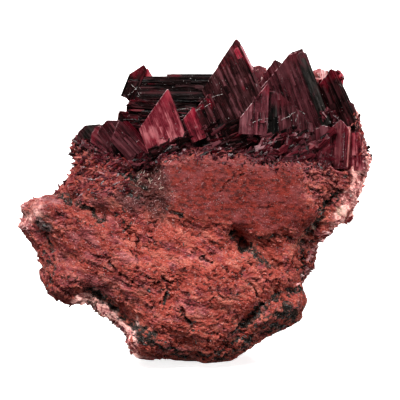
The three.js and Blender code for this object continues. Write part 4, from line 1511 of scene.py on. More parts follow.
# The blades that stand for each solid.
CLUSTERS: dict[str, tuple[Blade, ...]] = {
    "front_left_blade": (
        Blade(
            (-3.5, 33.0, 8.0), 20.5, 4.9, 6.5, 1.5, Tone.PINK, 5, cut_left=34, ribs=4, step=0.1, crowd=0.15
        ),
        # made dark as painted shade: it shows in the gap under the pink blade, where shadow falls
        Blade((-1.5, 26.5, 7.9), -76, 0.3, 4.4, 2.2, Tone.DARK, -4, 0.9, 20, 30, step=0.4),
    ),
    "left_plate": (
        Blade((-9.4, 29.2, 6.9), 42, 2.4, 6.0, 1.4, Tone.WINE, 14, cut_left=26, step=0.15),
        Blade((-8.9, 29.3, 6.1), 42, 1.6, 5.6, 1.8, Tone.CRIMSON, 14, cut_left=30, ribs=2, step=0.2),
        Blade(
            (-7.1, 26.9, 7.0), 42, 0.7, 2.0, 0.4, Tone.CRIMSON, 14, 0.1, 30, 40, ribs=1, step=0.03, crowd=0
        ),
    ),
    "right_low_blades": (
        Blade((17.2, 29.4, 5.7), -3, 1.2, 6.0, 2.2, Tone.CRIMSON, 20, 0.9, 40, 48, step=0.3, crowd=0.5),
        Blade((18.1, 28.6, 5.75), -4, 0.16, 5.0, 0.6, Tone.ROSE, 20, 0.12, 40, 40, ribs=1, step=0.1, crowd=0),
        Blade((18.9, 28.2, 4.6), 2, 0.8, 5.0, 2.4, Tone.PINK, 24, 0.4, ribs=2, step=0.5, crowd=1.4),
    ),
    "broken_crystals": (
        Blade((13.4, 28.2, 6.6), -62, 1.1, 8.4, 2.6, Tone.WINE, 6, 1.2, step=0.7, crowd=1.6),
        Blade((9.6, 27.6, 7.0), -28, 1.4, 3.6, 2.4, Tone.MAUVE, 4, 0.9, step=0.5, crowd=1.6),
        Blade((12.2, 28.3, 6.8), 14, 1.3, 4.3, 2.6, Tone.WINE, 14, 1.0, ribs=2, step=0.6, crowd=1.6),
    ),
    "mauve_block": (
        Blade((15.2, 28.8, 6.3), 4, 1.2, 4.8, 2.6, Tone.WINE, 12, 0.5, 12, 20, step=0.5, crowd=1.6),
    ),
    "front_right_blade": (
        Blade((8.4, 33.6, 6.7), -3, 3.0, 6.2, 1.3, Tone.MAUVE, -8, 0.3, 54, 60, step=0.1),
        Blade((9.0, 32.8, 5.9), -1, 0.7, 6.0, 1.4, Tone.SMOKE, 6, 1.0, 20, 30, ribs=2, step=0.2),
        Blade((9.7, 32.5, 6.5), 4, 0.3, 5.0, 1.5, Tone.WINE, 5, 3.8, 40, 45, ribs=4, step=0.14, rim=0),
    ),
    "central_spire": (
        Blade((4.6, 39.1, 5.6), 25, 6.4, 13.4, 1.8, Tone.DUSK, 8, cut_left=32, ribs=6, step=0.14),
        Blade((1.4, 32.6, 6.1), 24, 4.4, 6.0, 1.8, Tone.DUSK, 8, cut_left=25, ribs=4, step=0.3, crowd=1.2),
        Blade((5.6, 35.6, 4.7), 26, 2.2, 9.4, 2.4, Tone.DARK, 12, cut_left=30),
        # a bright crimson sliver under the tip: painted light shining through it
        Blade((4.7, 38.0, 5.68), 25, 0.5, 1.5, 0.4, Tone.FLAME, 8, 0.1, 32, 50, ribs=1, step=0.03, crowd=0),
        # a thin pale sliver along the tip's edge: a painted highlight
        Blade(
            (5.15, 38.25, 5.75), 26, 0.10, 3.4, 0.5, Tone.EDGE, 8, 0.08, 32, 50, ribs=1, step=0.03, crowd=0
        ),
        Blade(
            (5.6, 37.0, 5.72), 26, 0.16, 2.4, 0.5, Tone.CRIMSON, 8, 0.10, 32, 50, ribs=1, step=0.03, crowd=0
        ),
        Blade(
            (-0.5, 30.8, 6.95), 22, 1.6, 4.0, 0.7, Tone.PINK, 8, 0.06, 29, 60,
            ribs=2, step=0.05, blunt=0.03, crowd=0,
        ),
    ),
    "right_spire": (
        Blade(
            (11.8, 38.1, 5.0), 20, 6.6, 11.6, 2.2, Tone.WINE, 18, cut_left=29, rear=0.1,
            ribs=5, step=0.2, blunt=0.7,
        ),
        Blade((12.4, 36.9, 4.3), 19, 1.8, 10.4, 2.0, Tone.DARK, 22, cut_left=25, rear=0.1, step=0.35),
        Blade(
            (12.35, 37.5, 5.22), 20, 0.75, 9.4, 0.8, Tone.SMOKE, 20, 0.35, 25, 40,
            ribs=2, step=0.08, crowd=0.3,
        ),
        Blade((13.6, 34.2, 4.2), 20, 1.6, 8.0, 2.2, Tone.DARK, 24, cut_left=30, ribs=2, step=0.4),
    ),
    "pocket_plates": (
        Blade((8.6, 29.0, 6.0), -68, 1.7, 8.6, 4.0, Tone.DARK, -6, 1.6, 30, 30, ribs=5, step=0.6),
    ),
    "back_left_prism": (
        Blade((-8.9, 32.3, 4.2), 90, 0.9, 11.6, 3.4, Tone.DARK, 2, 2.1, 42, 23, ribs=5, step=0.32),
        Blade(
            (-6.3, 35.95, 4.3), -22, 1.2, 4.6, 2.6, Tone.DARK, 6, 0.5, 55, 38, ribs=2, step=0.12, blunt=0.1
        ),
        Blade(
            # bright crimson: painted light shining through this corner
            (-5.9, 35.55, 3.7), -22, 0.3, 3.6, 2.2, Tone.FLAME, 6, 0.9, 20, 38, ribs=2, step=0.12, blunt=0.1
        ),
        Blade((-8.7, 30.8, 4.8), 86, 2.4, 8.6, 3.2, Tone.DARK, 3, 0.9, 20, 34, ribs=5, step=0.5),
        Blade((-3.9, 34.6, 3.4), 90, 2.4, 6.2, 2.6, Tone.DARK, 2, 0.1, 15, 20, step=0.2),
    ),
    "behind_spire": (
        Blade((9.2, 36.7, 2.6), 24, 4.6, 8.6, 2.4, Tone.WINE, 16, cut_left=33, ribs=4),
        Blade((10.2, 35.8, 1.9), 20, 1.8, 7.0, 2.0, Tone.CRIMSON, 16, cut_left=30, ribs=2),
    ),
    "right_small_spire": (
        Blade((15.9, 35.6, 3.4), 24, 2.6, 7.6, 2.2, Tone.DARK, 16, cut_left=30, ribs=4),
        Blade((16.9, 33.4, 2.9), 24, 1.8, 5.6, 2.2, Tone.SMOKE, 18, cut_left=36, step=0.35),
        Blade((17.9, 31.9, 2.6), 17, 1.7, 4.4, 2.2, Tone.WINE, 18, cut_left=36, ribs=2),
    ),
    "upper_left_crystals": (
        Blade((-9.5, 30.4, 3.3), 46, 1.3, 5.0, 2.6, Tone.DARK, 8, 1.3, 36, step=0.2),
        Blade((-11.3, 29.3, 4.2), 34, 1.4, 4.4, 2.6, Tone.WINE, 6, 1.6, 30, 35, blunt=0.3),
        Blade((-14.0, 28.6, 3.2), 40, 1.2, 3.8, 2.4, Tone.SMOKE, 10, 1.9, 26, 34, blunt=0.3),
        Blade((-12.7, 28.4, 3.8), 52, 1.4, 3.6, 2.4, Tone.CRIMSON, 0, 1.2, 30, 38, ribs=2, blunt=0.3),
    ),
    "rear_right_druse": (
        # bright crimson: painted light shining through these thin crystals
        Blade((17.0, 35.5, 1.5), -8, 1.1, 4.0, 1.6, Tone.FLAME, -8, 0.8, 24, 44, step=0.4, blunt=0.2),
        Blade((14.3, 35.7, 1.0), 12, 0.9, 3.6, 1.8, Tone.PALE, 10, 1.0, 26, 30, blunt=0.2),
        Blade((15.6, 34.2, 0.9), -10, 1.6, 3.2, 2.4, Tone.PALE, 4, 1.4, 25, 30, ribs=2, step=0.4),
    ),
    "rear_crest_crystals": (
        Blade((7.2, 36.2, 0.4), 4, 1.3, 4.0, 2.6, Tone.MAUVE, -6, 1.1, 24, 26, step=0.4),
        Blade((4.6, 35.8, -1.8), 20, 2.0, 5.0, 2.4, Tone.WINE, 10, 0.6, 34),
        Blade((6.6, 34.9, -1.2), -8, 2.6, 4.0, 2.4, Tone.WINE, 4, 2.6, 20, 22),
        Blade((9.6, 35.4, -2.2), -14, 1.3, 4.8, 2.6, Tone.CRIMSON, -12, 1.4, 34, 36),
    ),
}


@dataclass
class Crystals:
    """The blades of the pocket."""

    seed: int = 100
    finishes: dict[Tone, Material] = field(default_factory=dict)
    trees: dict[str, BVHTree] = field(default_factory=dict)

    def material(self, tone: Tone) -> Material:
        """The material of a tone, made the first time it is asked for.

        Args:
            tone: the tone.

        Returns:
            Its material.
        """
        if tone not in self.finishes:
            self.finishes[tone] = tone.value.make(f"erythrite_{tone.name.lower()}")
        return self.finishes[tone]

    def cluster(self, node: str, blades: tuple[Blade, ...], seed: int) -> bpy.types.Object:
        """Builds the crystals that stand for one solid.

        Args:
            node: the solid's name.
            blades: its crystals.
            seed: which irregularities they get.

        Returns:
            The piece.
        """
        mesh = bpy.data.meshes.new(node)
        whole = bmesh.new()
        tones = list(dict.fromkeys([*(blade.tone for blade in blades), Tone.EDGE]))
        part = bpy.data.meshes.new("blade")
        for i, blade in enumerate(blades):
            shape = blade.build(seed + i * 11)
            for face in shape.faces:
                face.material_index = tones.index(Tone.EDGE if face.material_index else blade.tone)
            shape.to_mesh(part)
            whole.from_mesh(part)
            shape.free()
        bpy.data.meshes.remove(part)
        whole.to_mesh(mesh)
        self.trees[node] = BVHTree.FromBMesh(whole)
        whole.free()
        for tone in tones:
            mesh.materials.append(self.material(tone))
        return dress(f"{node}_crystal", mesh, "erythrite_crystal", node)

    def build(self) -> None:
        """Builds every cluster."""
        for i, (node, blades) in enumerate(CLUSTERS.items()):
            self.cluster(node, blades, self.seed + i * 31)


# ------------ the small crystals and crumbs


@dataclass(frozen=True)
class Zone:
    """A place that small crystals crowd on.

    where is the line that they gather along, within about reach mm, or two opposite corners if reach is 0.
    They lean tilt degrees to the left of up, give or take spread, and stand lift degrees out of the face.
    size is how long they are, in mm, and width how wide for their length. shares says how many there are of
    each tone, and on which solids they grow.
    """

    where: Line
    count: int
    tilt: float
    spread: float
    size: Span
    shares: dict[Tone, float]
    lift: Span
    width: float
    reach: float = 0.0
    on: tuple[str, ...] = ("matrix",)

    def spot(self, draw: Draw) -> Span:
        """Picks a place in the zone.

        Args:
            draw: the source of its irregularities.

        Returns:
            The place, across and up.
        """
        if self.reach:
            piece = int(draw.random() * (len(self.where) - 1))
            (x0, y0), (x1, y1) = self.where[piece], self.where[piece + 1]
            t = draw.random()
            away = [0.6 * self.reach * draw.normal() for _ in range(2)]
            return x0 + (x1 - x0) * t + away[0], y0 + (y1 - y0) * t + away[1]
        (x0, y0), (x1, y1) = self.where
        return x0 + (x1 - x0) * draw.random(), y0 + (y1 - y0) * draw.random()


DARK_MIX = {Tone.DARK: 0.66, Tone.WINE: 0.22, Tone.CRIMSON: 0.06, Tone.SMOKE: 0.06}
MAUVE_MIX = {Tone.MAUVE: 0.35, Tone.WINE: 0.2, Tone.CRIMSON: 0.3, Tone.DARK: 0.15}
CRIMSON_MIX = {Tone.CRIMSON: 0.3, Tone.MAUVE: 0.3, Tone.WINE: 0.2, Tone.DARK: 0.2}
BROW_MIX = {Tone.MAUVE: 0.25, Tone.CRIMSON: 0.25, Tone.BRICK: 0.12, Tone.WINE: 0.2, Tone.DARK: 0.18}
PALE_MIX = {Tone.PALE: 0.45, Tone.ROSE: 0.45, Tone.CRIMSON: 0.1}
LEFT_MIX = {Tone.BRICK: 0.35, Tone.PINK: 0.15, Tone.CRIMSON: 0.20, Tone.WINE: 0.30}
FLAKE_MIX = {Tone.BRICK: 0.55, Tone.PINK: 0.25, Tone.ROSE: 0.12, Tone.WINE: 0.08}
RIM_MIX = {Tone.PALE: 0.7, Tone.ROSE: 0.3}
FRINGE_MIX = {Tone.BRICK: 0.42, Tone.ROSE: 0.33, Tone.CRIMSON: 0.20, Tone.WINE: 0.05}
FOOT_MIX = {Tone.CREAM: 0.35, Tone.ROSE: 0.25, Tone.CRIMSON: 0.3, Tone.PALE: 0.1}
CAVITY_MIX = {Tone.CRIMSON: 0.5, Tone.MAUVE: 0.2, Tone.WINE: 0.3}
CREAM_ONLY = {Tone.CREAM: 1.0}
RIGHT_FRINGE = RIGHT_RIM[:3]
FLOOR_AREA = ((0.4, 24.8), (12.8, 28.4))
JUMBLE_AREA = ((6.0, 24.4), (15.8, 27.6))
BROW_CRUST: Line = tuple((across, up - 0.7) for across, up in BROW)
FLOOR = ("matrix", "pocket_plates", "broken_crystals", "mauve_block", "central_spire")
RIGHT = ("matrix", "right_low_blades", "right_small_spire")
LEFT = ("left_plate", "front_left_blade", "matrix")
PRISM = ("back_left_prism", "matrix")
AROUND_CAVITY = (
    "matrix", "mauve_block", "broken_crystals", "right_spire", "right_small_spire", "right_low_blades",
)  # fmt: skip
REAR = ("rear_right_druse", "rear_crest_crystals")

ZONES: dict[str, Zone] = {
    "floor_grit": Zone(FLOOR_AREA, 240, -70, 9, (0.5, 2.2), DARK_MIX, (0, 16), 0.18, 0, FLOOR),
    "jumble_grit": Zone(JUMBLE_AREA, 190, -52, 30, (0.6, 1.7), MAUVE_MIX, (0, 22), 0.40, 0, FLOOR),
    "right_grit": Zone(((14.6, 24.0), (19.9, 29.6)), 190, 2, 16, (0.4, 1.4), CRIMSON_MIX, (0, 24), 0.3),
    "left_grit": Zone(((-15.0, 24.6), (-8.0, 29.6)), 160, 30, 40, (0.3, 1.2), DARK_MIX, (0, 40), 0.4),
    "gap_grit": Zone(((-9.0, 28.6), (0.8, 31.6)), 150, 88, 10, (0.5, 1.8), DARK_MIX, (0, 15), 0.12, 0, PRISM),
    "plate_foot_grit": Zone(PLATE_FOOT, 260, -62, 26, (0.4, 1.5), DARK_MIX, (0, 24), 0.3, 0.5, LEFT),
    "foot_grit": Zone(BROW, 620, -50, 60, (0.22, 0.8), CRIMSON_MIX, (0, 40), 0.34, 0.6),
    "brow_grit": Zone(BROW_CRUST, 520, -30, 70, (0.2, 0.7), BROW_MIX, (0, 50), 0.4, 0.8),
    "right_rim_grit": Zone(RIGHT_RIM[2:], 380, -20, 60, (0.18, 0.55), RIM_MIX, (0, 60), 0.4, 0.8, RIGHT),
    "right_fringe_grit": Zone(
        RIGHT_FRINGE, 240, -10, 30, (0.22, 0.7), FRINGE_MIX, (-10, 22), 0.38, 0.7, RIGHT
    ),
    "right_edge_grit": Zone(RIGHT_EDGE, 150, -80, 40, (0.3, 1.0), PALE_MIX, (-10, 30), 0.4, 0.5),
    "left_rim_grit": Zone(LEFT_RIM, 520, 66, 34, (0.25, 0.85), FLAKE_MIX, (-15, 20), 0.32, 0.6),
    "spur_grit": Zone(SPUR_RIM, 130, 80, 40, (0.2, 0.6), RIM_MIX, (-10, 30), 0.4, 0.45),
    "left_needles": Zone(((-14.9, 20.4), (-8.0, 27.0)), 560, 104, 30, (0.3, 1.1), LEFT_MIX, (-10, 25), 0.24),
    "cavity_grit": Zone(CAVITY, 70, 0, 60, (0.35, 0.9), CAVITY_MIX, (0, 40), 0.45, 0.12, AROUND_CAVITY),
    "foot_rim_grit": Zone(LOWER_RIM, 240, -40, 40, (0.3, 1.1), FOOT_MIX, (-10, 40), 0.3, 0.45),
    "cream_needles": Zone(((-7.4, 20.4), (-4.0, 23.2)), 34, -50, 34, (0.3, 1.0), CREAM_ONLY, (0, 20), 0.12),
    "rear_grit": Zone(((5.8, 33.0), (17.8, 36.4)), 240, 10, 40, (0.3, 0.8), PALE_MIX, (0, 60), 0.45, 0, REAR),
}


@dataclass(frozen=True)
class Shard:
    """A small blade: its place, with its length as scale, its width for its length, its tint and material."""

    place: Matrix
    width: float
    tint: float
    kind: int = 0


@dataclass
class Grit:
    """Small crystals that crowd the pocket, and crumbs of the rock itself.

    shapes are the thickness and the slope of the end of each kind of shard. crumb_size and ore_size are the
    shortest and longest of the crumbs, in mm. bare is the share of the crumbs with no ore on them, foot how
    far over the ground the lowest lie, and lie and stray how they lean to the left of up, in degrees. liking
    says how much more or less often crumbs lie where the rock is so.
    """

    rock: Rock
    crystals: Crystals
    seed: int = 900
    crumbs: int = 4200
    ore_grains: int = 2200
    crumb_size: Span = (0.20, 0.70)
    ore_size: Span = (0.2, 0.5)
    bare: float = 0.5
    foot: float = 0.8
    lie: float = -90 - CLEAVAGE
    stray: float = 26.0
    shapes: tuple[Span, ...] = ((0.45, 0.9), (0.6, 1.2), (0.35, 0.6), (0.8, 1.0))
    liking: tuple[tuple[str, float], ...] = (
        ("plate", -0.92), ("grainy", 3.0), ("ore", -0.3), ("brow", -0.9), ("calm", -0.75),
    )  # fmt: skip

    def stamp(self, name: str, thick: float, slope: float) -> Mesh:
        """A small blade of unit length and width with a chisel end.

        Args:
            name: the mesh's name.
            thick: how thick it is.
            slope: how far its end slants, in radians.

        Returns:
            Its mesh, with its foot a third of the way below its origin.
        """
        shape = bmesh.new()
        bmesh.ops.create_cube(shape, size=1)
        bmesh.ops.scale(shape, vec=(1, 1, thick), verts=shape.verts)
        bmesh.ops.translate(shape, vec=(0, 0.17, 0), verts=shape.verts)
        for side in (-1, 1):
            normal = Vector((side * math.cos(slope), math.sin(slope), 0.25 * side)).normalized()
            Blade.slice(shape, Vector((0.12 * side, 0.66, 0)), normal)
        mesh = bpy.data.meshes.new(name)
        shape.to_mesh(mesh)
        shape.free()
        return mesh

    def strew(self, name: str, shards: list[Shard], masks: dict[str, Array]) -> Mesh:
        """Copies small blades to their places.

        Args:
            name: the mesh's name.
            shards: the blades.
            masks: the rock's masks, with a value for each blade.

        Returns:
            One mesh that holds them all.
        """
        stamps = [self.stamp(f"shard_{i}", *shape) for i, shape in enumerate(self.shapes)]
        whole = bmesh.new()
        part = bpy.data.meshes.new("shard_copy")
        for i, shard in enumerate(shards):
            one = bmesh.new()
            one.from_mesh(stamps[i % len(stamps)])
            grain = one.verts.layers.float_vector.new("grain")
            tint = one.verts.layers.float.new("tint")
            for vert in one.verts:
                vert[grain] = Vector((vert.co.x * shard.width + i * 0.37 % 40, vert.co.y - 3.0, vert.co.z))
                vert[tint] = shard.tint
            for face in one.faces:
                face.material_index = shard.kind
            squeezed = shard.place @ Matrix.Diagonal((shard.width, 1, shard.width, 1))
            bmesh.ops.transform(one, matrix=squeezed, verts=one.verts)
            one.to_mesh(part)
            one.free()
            whole.from_mesh(part)
        mesh = bpy.data.meshes.new(name)
        whole.to_mesh(mesh)
        whole.free()
        sizes = [len(stamps[i % len(stamps)].vertices) for i in range(len(shards))]
        for mask, values in masks.items():
            layer = mesh.attributes.new(mask, "FLOAT", "POINT")
            layer.data.foreach_set("value", np.repeat(values, sizes).astype(np.float32))
        for used in (*stamps, part):
            bpy.data.meshes.remove(used)
        return mesh

    @staticmethod
    def pose(at: Vector, growth: Vector, up: Vector, size: float) -> Matrix:
        """Stands a blade at a place.

        Args:
            at: the place, in metres.
            growth: the way that it grows.
            up: the way that its flat side looks.
            size: its length, in mm.

        Returns:
            The matrix that takes a blade of unit length there.
        """
        side = growth.cross(up)
        if side.length < 1e-6:
            side = growth.orthogonal()
        side.normalize()
        out = side.cross(growth.normalized())
        turned = Matrix((side, growth.normalized(), out)).transposed().to_4x4()
        return Matrix.Translation(at) @ turned @ Matrix.Scale(size * MM, 4)

    def zone(self, name: str, zone: Zone, trees: dict[str, BVHTree], seed: int) -> None:
        """Crowds one zone.

        Args:
            name: the piece's name.
            zone: where and how its crystals stand.
            trees: the surfaces that they stand on.
            seed: which irregularities they get.
        """
        draw = np.random.default_rng(seed)
        turn = FACE.matrix().to_3x3()
        shares = np.array(list(zone.shares.values())) / sum(zone.shares.values())
        shards = []
        for _ in range(zone.count):
            across, up = zone.spot(draw)
            tilt = math.radians(zone.tilt + zone.spread * draw.normal())
            lift = math.radians(zone.lift[0] + (zone.lift[1] - zone.lift[0]) * draw.random())
            size = zone.size[0] + (zone.size[1] - zone.size[0]) * draw.random() ** 2
            kind = int(draw.choice(len(shares), p=shares))
            tint = 2 * draw.random() - 1
            roll = 0.8 * draw.normal()
            falls = zip(FACE.dropped(across, up, trees.values()), trees)
            hits = [(fall[3], node, fall[0]) for fall, node in falls if fall[0] is not None]
            if not hits:
                continue
            _, node, at = min(hits, key=lambda hit: hit[0])
            if node not in zone.on:
                continue
            flat = Vector((-math.sin(tilt), math.cos(tilt), 0))
            growth = flat * math.cos(lift) + Vector((0, 0, 1)) * math.sin(lift)
            facing = Vector((0, 0, 1)) + Vector((math.cos(tilt), math.sin(tilt), 0)) * roll
            place = self.pose(at, (turn @ growth).normalized(), (turn @ facing).normalized(), size)
            shards.append(Shard(place, zone.width * (0.6 + 0.8 * draw.random()), tint, kind))
        mesh = self.strew(name, shards, {})
        for tone in zone.shares:
            mesh.materials.append(self.crystals.material(tone))
        dress(name, mesh, "erythrite_crystal")

    def crumble(self, name: str, count: int, weight: Array, size: Span, seed: int) -> Mesh:
        """Strews crumbs over the rock, lying along its flakes.

        Args:
            name: the mesh's name.
            count: how many.
            weight: how likely each face of the rock is to carry one, for its area.
            size: the shortest and longest, in mm.
            seed: which irregularities they get.

        Returns:
            Their mesh, with the rock's masks on it.
        """
        draw = np.random.default_rng(seed)
        faces = self.rock.piece.data.polygons
        centres, normals = values(faces, "center", 3), values(faces, "normal", 3)
        chance = values(faces, "area") * weight * (centres[:, 2] > self.foot * MM)
        picked = draw.choice(len(faces), size=count, p=chance / chance.sum())
        turn = FACE.matrix().to_3x3().normalized()
        shards = []
        for i in picked:
            tilt = math.radians(self.lie + self.stray * draw.normal() + (180 if draw.random() < 0.5 else 0))
            growth = turn @ Vector((-math.sin(tilt), math.cos(tilt), 0))
            normal = Vector(normals[i])
            growth = (growth - normal * growth.dot(normal)).normalized()
            growth += normal * (0.15 + 0.5 * draw.random())
            length = size[0] + (size[1] - size[0]) * draw.random() ** 2.5
            facing = normal + 0.5 * Vector(draw.normal(size=3))
            place = self.pose(Vector(centres[i]), growth.normalized(), facing.normalized(), length)
            shards.append(Shard(place, 0.22 + 0.3 * draw.random(), 2 * draw.random() - 1))
        masks = {mask: self.at_faces(mask)[picked] for mask in self.rock.masks}
        masks["ore"] = np.where(draw.random(count) < self.bare, 0, masks["ore"])
        return self.strew(name, shards, masks)

    def at_faces(self, mask: str) -> Array:
        """Reads one of the rock's masks at a corner of each of its faces.

        Args:
            mask: the mask's name.

        Returns:
            A value for each face.
        """
        rock = self.rock.piece.data
        first = values(rock.polygons, "loop_start", kind=np.int32)
        return self.rock.masks[mask][values(rock.loops, "vertex_index", kind=np.int32)[first]]

    def build(self) -> None:
        """Makes all of the small crystals and crumbs."""
        trees = {"matrix": self.rock.tree, **self.crystals.trees}
        for i, (name, zone) in enumerate(ZONES.items()):
            self.zone(name, zone, trees, self.seed + 17 * i)
        weight = np.prod([1 + share * self.at_faces(mask) for mask, share in self.liking], axis=0)
        mesh = self.crumble("rock_crumbs", self.crumbs, weight, self.crumb_size, self.seed + 1)
        mesh.materials.append(self.rock.piece.data.materials[0])
        dress("rock_crumbs", mesh, "massive_erythrite")
        ore, wine, plate = (self.at_faces(mask) for mask in ("ore", "wine", "plate"))
        veins = (ore**2 + 0.004) * (1 - wine) * (1 - 0.9 * plate)
        mesh = self.crumble("ore_grains", self.ore_grains, veins, self.ore_size, self.seed + 2)
        mesh.materials.append(self.crystals.material(Tone.GREY))
        dress("ore_grains", mesh, "massive_erythrite")


@dataclass(frozen=True)
class Lint:
    """White dust that clings to the blades: threads, and specks of speck mm.

    Each thread is a few points, across and up, on what lies there. It is thick mm thick and lies clear mm
    over it, with as many steps between two points and sides round it as given. Specks lie between low and
    high.
    """

    rock: Rock
    crystals: Crystals
    threads: tuple[Line, ...] = (
        ((11.0, 29.8), (11.6, 30.1), (12.3, 30.3)),
        ((11.7, 29.0), (12.0, 29.9), (12.4, 30.3), (12.9, 29.9)),
        ((9.6, 28.9), (10.6, 29.5), (11.2, 29.7)),
        ((6.2, 28.6), (7.2, 29.2), (8.4, 29.4)),
        ((-8.3, 32.2), (-7.6, 32.6), (-7.0, 33.3), (-6.7, 32.9)),
        ((-7.9, 33.5), (-7.3, 33.0), (-6.9, 32.2)),
        ((-2.6, 30.4), (-1.4, 30.6), (0.2, 30.3), (1.6, 31.2)),
        ((-2.1, 29.6), (-0.6, 29.9), (0.6, 30.9)),
        ((0.9, 31.4), (2.1, 32.1), (3.1, 32.3)),
        ((16.6, 33.9), (17.4, 33.2), (18.3, 32.9)),
        ((18.9, 29.6), (19.5, 30.2), (20.0, 29.3)),
        ((2.6, 27.6), (3.3, 26.9), (3.6, 26.3)),
        ((-3.4, 23.9), (-3.0, 24.4), (-2.3, 24.5)),
    )
    thick: float = 0.014
    clear: float = 0.02
    sides: int = 5
    steps: int = 6
    smoothing: int = 3
    specks: int = 420
    speck: Span = (0.014, 0.045)
    low: Span = (-13.0, 23.0)
    high: Span = (18.5, 36.0)
    seed: int = 77

    def rest(self, across: float, up: float, trees: list[BVHTree]) -> Vector | None:
        """Finds the place just over what lies at a point of the face.

        Args:
            across: how far across the point is, in mm.
            up: how far up it is, in mm.
            trees: what may lie there.

        Returns:
            The place in metres, or nothing if nothing lies there.
        """
        near = min((fall[3] for fall in FACE.dropped(across, up, trees) if fall[0] is not None), default=None)
        if near is None:
            return None
        return FACE.matrix() @ Vector((across, up, OVERHEAD)) - FACE.outward() * (near - self.clear * MM)

    def route(self, line: Line, trees: list[BVHTree]) -> list[Vector]:
        """Lays a thread over what is under its points.

        Args:
            line: its points, across and up.
            trees: what it lies on.

        Returns:
            Its course, in metres.
        """
        stops = []
        for (x0, y0), (x1, y1) in zip(line, line[1:]):
            shares = [i / self.steps for i in range(self.steps)]
            stops += [(x0 + (x1 - x0) * share, y0 + (y1 - y0) * share) for share in shares]
        spots = [spot for stop in (*stops, line[-1]) if (spot := self.rest(*stop, trees)) is not None]
        for _ in range(self.smoothing):
            spots[1:-1] = [(a + b + c) / 3 for a, b, c in zip(spots, spots[1:], spots[2:])]
        return spots

    def draw_out(self, shape: Shape, spots: list[Vector]) -> None:
        """Draws a thread out from place to place.

        Args:
            shape: what it is added to.
            spots: its course, in metres.
        """
        frames = []
        for i, spot in enumerate(spots):
            along = (spots[min(i + 1, len(spots) - 1)] - spots[max(i - 1, 0)]).normalized()
            side = along.orthogonal().normalized()
            turned = Matrix((side.cross(along), side, along)).transposed().to_4x4()
            frames.append(Matrix.Translation(spot) @ turned)
        ring = bmesh.ops.create_circle(
            shape, cap_ends=True, radius=self.thick * MM, segments=self.sides, matrix=frames[0]
        )["verts"]
        end = ring[0].link_faces[0]
        for last, following in zip(frames, frames[1:]):
            grown = bmesh.ops.extrude_face_region(shape, geom=[end, *end.edges])["geom"]
            verts = [part for part in grown if isinstance(part, bmesh.types.BMVert)]
            bmesh.ops.transform(shape, matrix=following @ last.inverted(), verts=verts)
            end = next(part for part in grown if isinstance(part, bmesh.types.BMFace))

    def build(self) -> None:
        """Makes the piece that holds the threads and specks."""
        trees = [self.rock.tree, *self.crystals.trees.values()]
        whole = bmesh.new()
        for line in self.threads:
            spots = self.route(line, trees)
            if len(spots) > 2:
                self.draw_out(whole, spots)
        draw = np.random.default_rng(self.seed)
        for _ in range(self.specks):
            across, up = (low + (high - low) * draw.random() for low, high in zip(self.low, self.high))
            size = (self.speck[0] + (self.speck[1] - self.speck[0]) * draw.random() ** 3) * MM
            spot = self.rest(across, up, trees)
            if spot is not None:
                where = Matrix.Translation(spot) @ Matrix.Diagonal((size, size, size, 1))
                bmesh.ops.create_icosphere(whole, subdivisions=1, radius=1, matrix=where)
        bmesh.ops.recalc_face_normals(whole, faces=whole.faces)
        mesh = bpy.data.meshes.new("lint")
        whole.to_mesh(mesh)
        whole.free()
        mesh.materials.append(DustFinish().make("dust"))
        dress("dust_threads", mesh, "erythrite_crystal")


# ------------ the studio


@dataclass(frozen=True)
class Lamp:
    """A soft square light: where it hangs and the length of its side, in metres, and its power, in watts."""

    place: Place
    size: float
    power: float


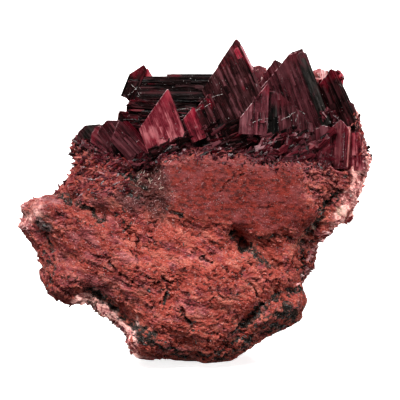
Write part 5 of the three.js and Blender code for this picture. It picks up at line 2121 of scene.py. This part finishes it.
@dataclass
class Studio:
    """A plain white floor, soft lights, and a camera level with the leaning face.

    aim is what the camera looks at on the face, in mm. distance is from there, field_width what it takes in,
    and floor_size half the floor's side, in metres. lit is what the lamps look at, and sky the strength of
    the light from all round.
    """

    aim: Place = (0.36, 19.68, 0.0)
    distance: float = 0.8
    field_width: float = 0.048
    sensor: float = 36.0
    clip: Span = (0.05, 10.0)
    floor_size: float = 1.5
    sky: float = 0.05
    lit: Place = (0, 0, 0.018)
    lamps: tuple[tuple[str, Lamp], ...] = (
        ("key", Lamp((-0.08, -0.32, 0.48), 0.16, 4.6)),
        ("left", Lamp((-0.52, -0.24, 0.06), 0.22, 1.4)),
        ("right", Lamp((0.52, -0.24, 0.06), 0.22, 2.6)),
        ("back", Lamp((0.10, 0.40, 0.35), 0.30, 3.0)),
    )

    def floor(self) -> None:
        """Lays the floor."""
        shape = bmesh.new()
        bmesh.ops.create_grid(shape, x_segments=1, y_segments=1, size=self.floor_size)
        mesh = bpy.data.meshes.new("floor")
        shape.to_mesh(mesh)
        shape.free()
        mesh.materials.append(FloorFinish().make("studio_white"))
        ground = bpy.data.objects.new("floor", mesh)
        bpy.context.scene.collection.objects.link(ground)
        ground.visible_diffuse = False
        ground.visible_glossy = False

    def hang(self, name: str, lamp: Lamp) -> None:
        """Hangs a light that looks at the specimen.

        Args:
            name: the light's name.
            lamp: the light.
        """
        light = bpy.data.lights.new(name, "AREA")
        light.size = lamp.size
        light.energy = lamp.power
        hung = bpy.data.objects.new(name, light)
        hung.location = lamp.place
        hung.rotation_euler = (Vector(self.lit) - Vector(lamp.place)).to_track_quat("-Z", "Y").to_euler()
        hung.visible_camera = False
        bpy.context.scene.collection.objects.link(hung)

    def camera(self) -> None:
        """Sets up the camera."""
        data = bpy.data.cameras.new("camera")
        data.sensor_width = self.sensor
        data.lens = self.sensor * self.distance / self.field_width
        data.clip_start, data.clip_end = self.clip
        camera = bpy.data.objects.new("camera", data)
        camera.location = FACE.matrix() @ Vector(self.aim) + FACE.outward() * self.distance
        camera.rotation_euler = (math.pi / 2 - FACE.lean, 0, 0)
        bpy.context.scene.collection.objects.link(camera)
        bpy.context.scene.camera = camera

    def build(self) -> None:
        """Sets up the whole studio."""
        world = bpy.data.worlds.new("studio")
        world.use_nodes = True
        background = world.node_tree.nodes["Background"]
        background.inputs[0].default_value = (1, 1, 1, 1)
        background.inputs[1].default_value = self.sky
        bpy.context.scene.world = world
        bpy.context.scene.view_settings.view_transform = "Standard"
        self.floor()
        for name, lamp in self.lamps:
            self.hang(name, lamp)
        self.camera()


def main() -> None:
    """Builds the specimen and the studio."""
    logging.basicConfig(level=logging.INFO, format="%(name)s: %(message)s")
    rock, crystals = Rock(), Crystals()
    rock.build()
    crystals.build()
    Grit(rock, crystals).build()
    Lint(rock, crystals).build()
    Studio().build()


if __name__ == "__main__":
    main()
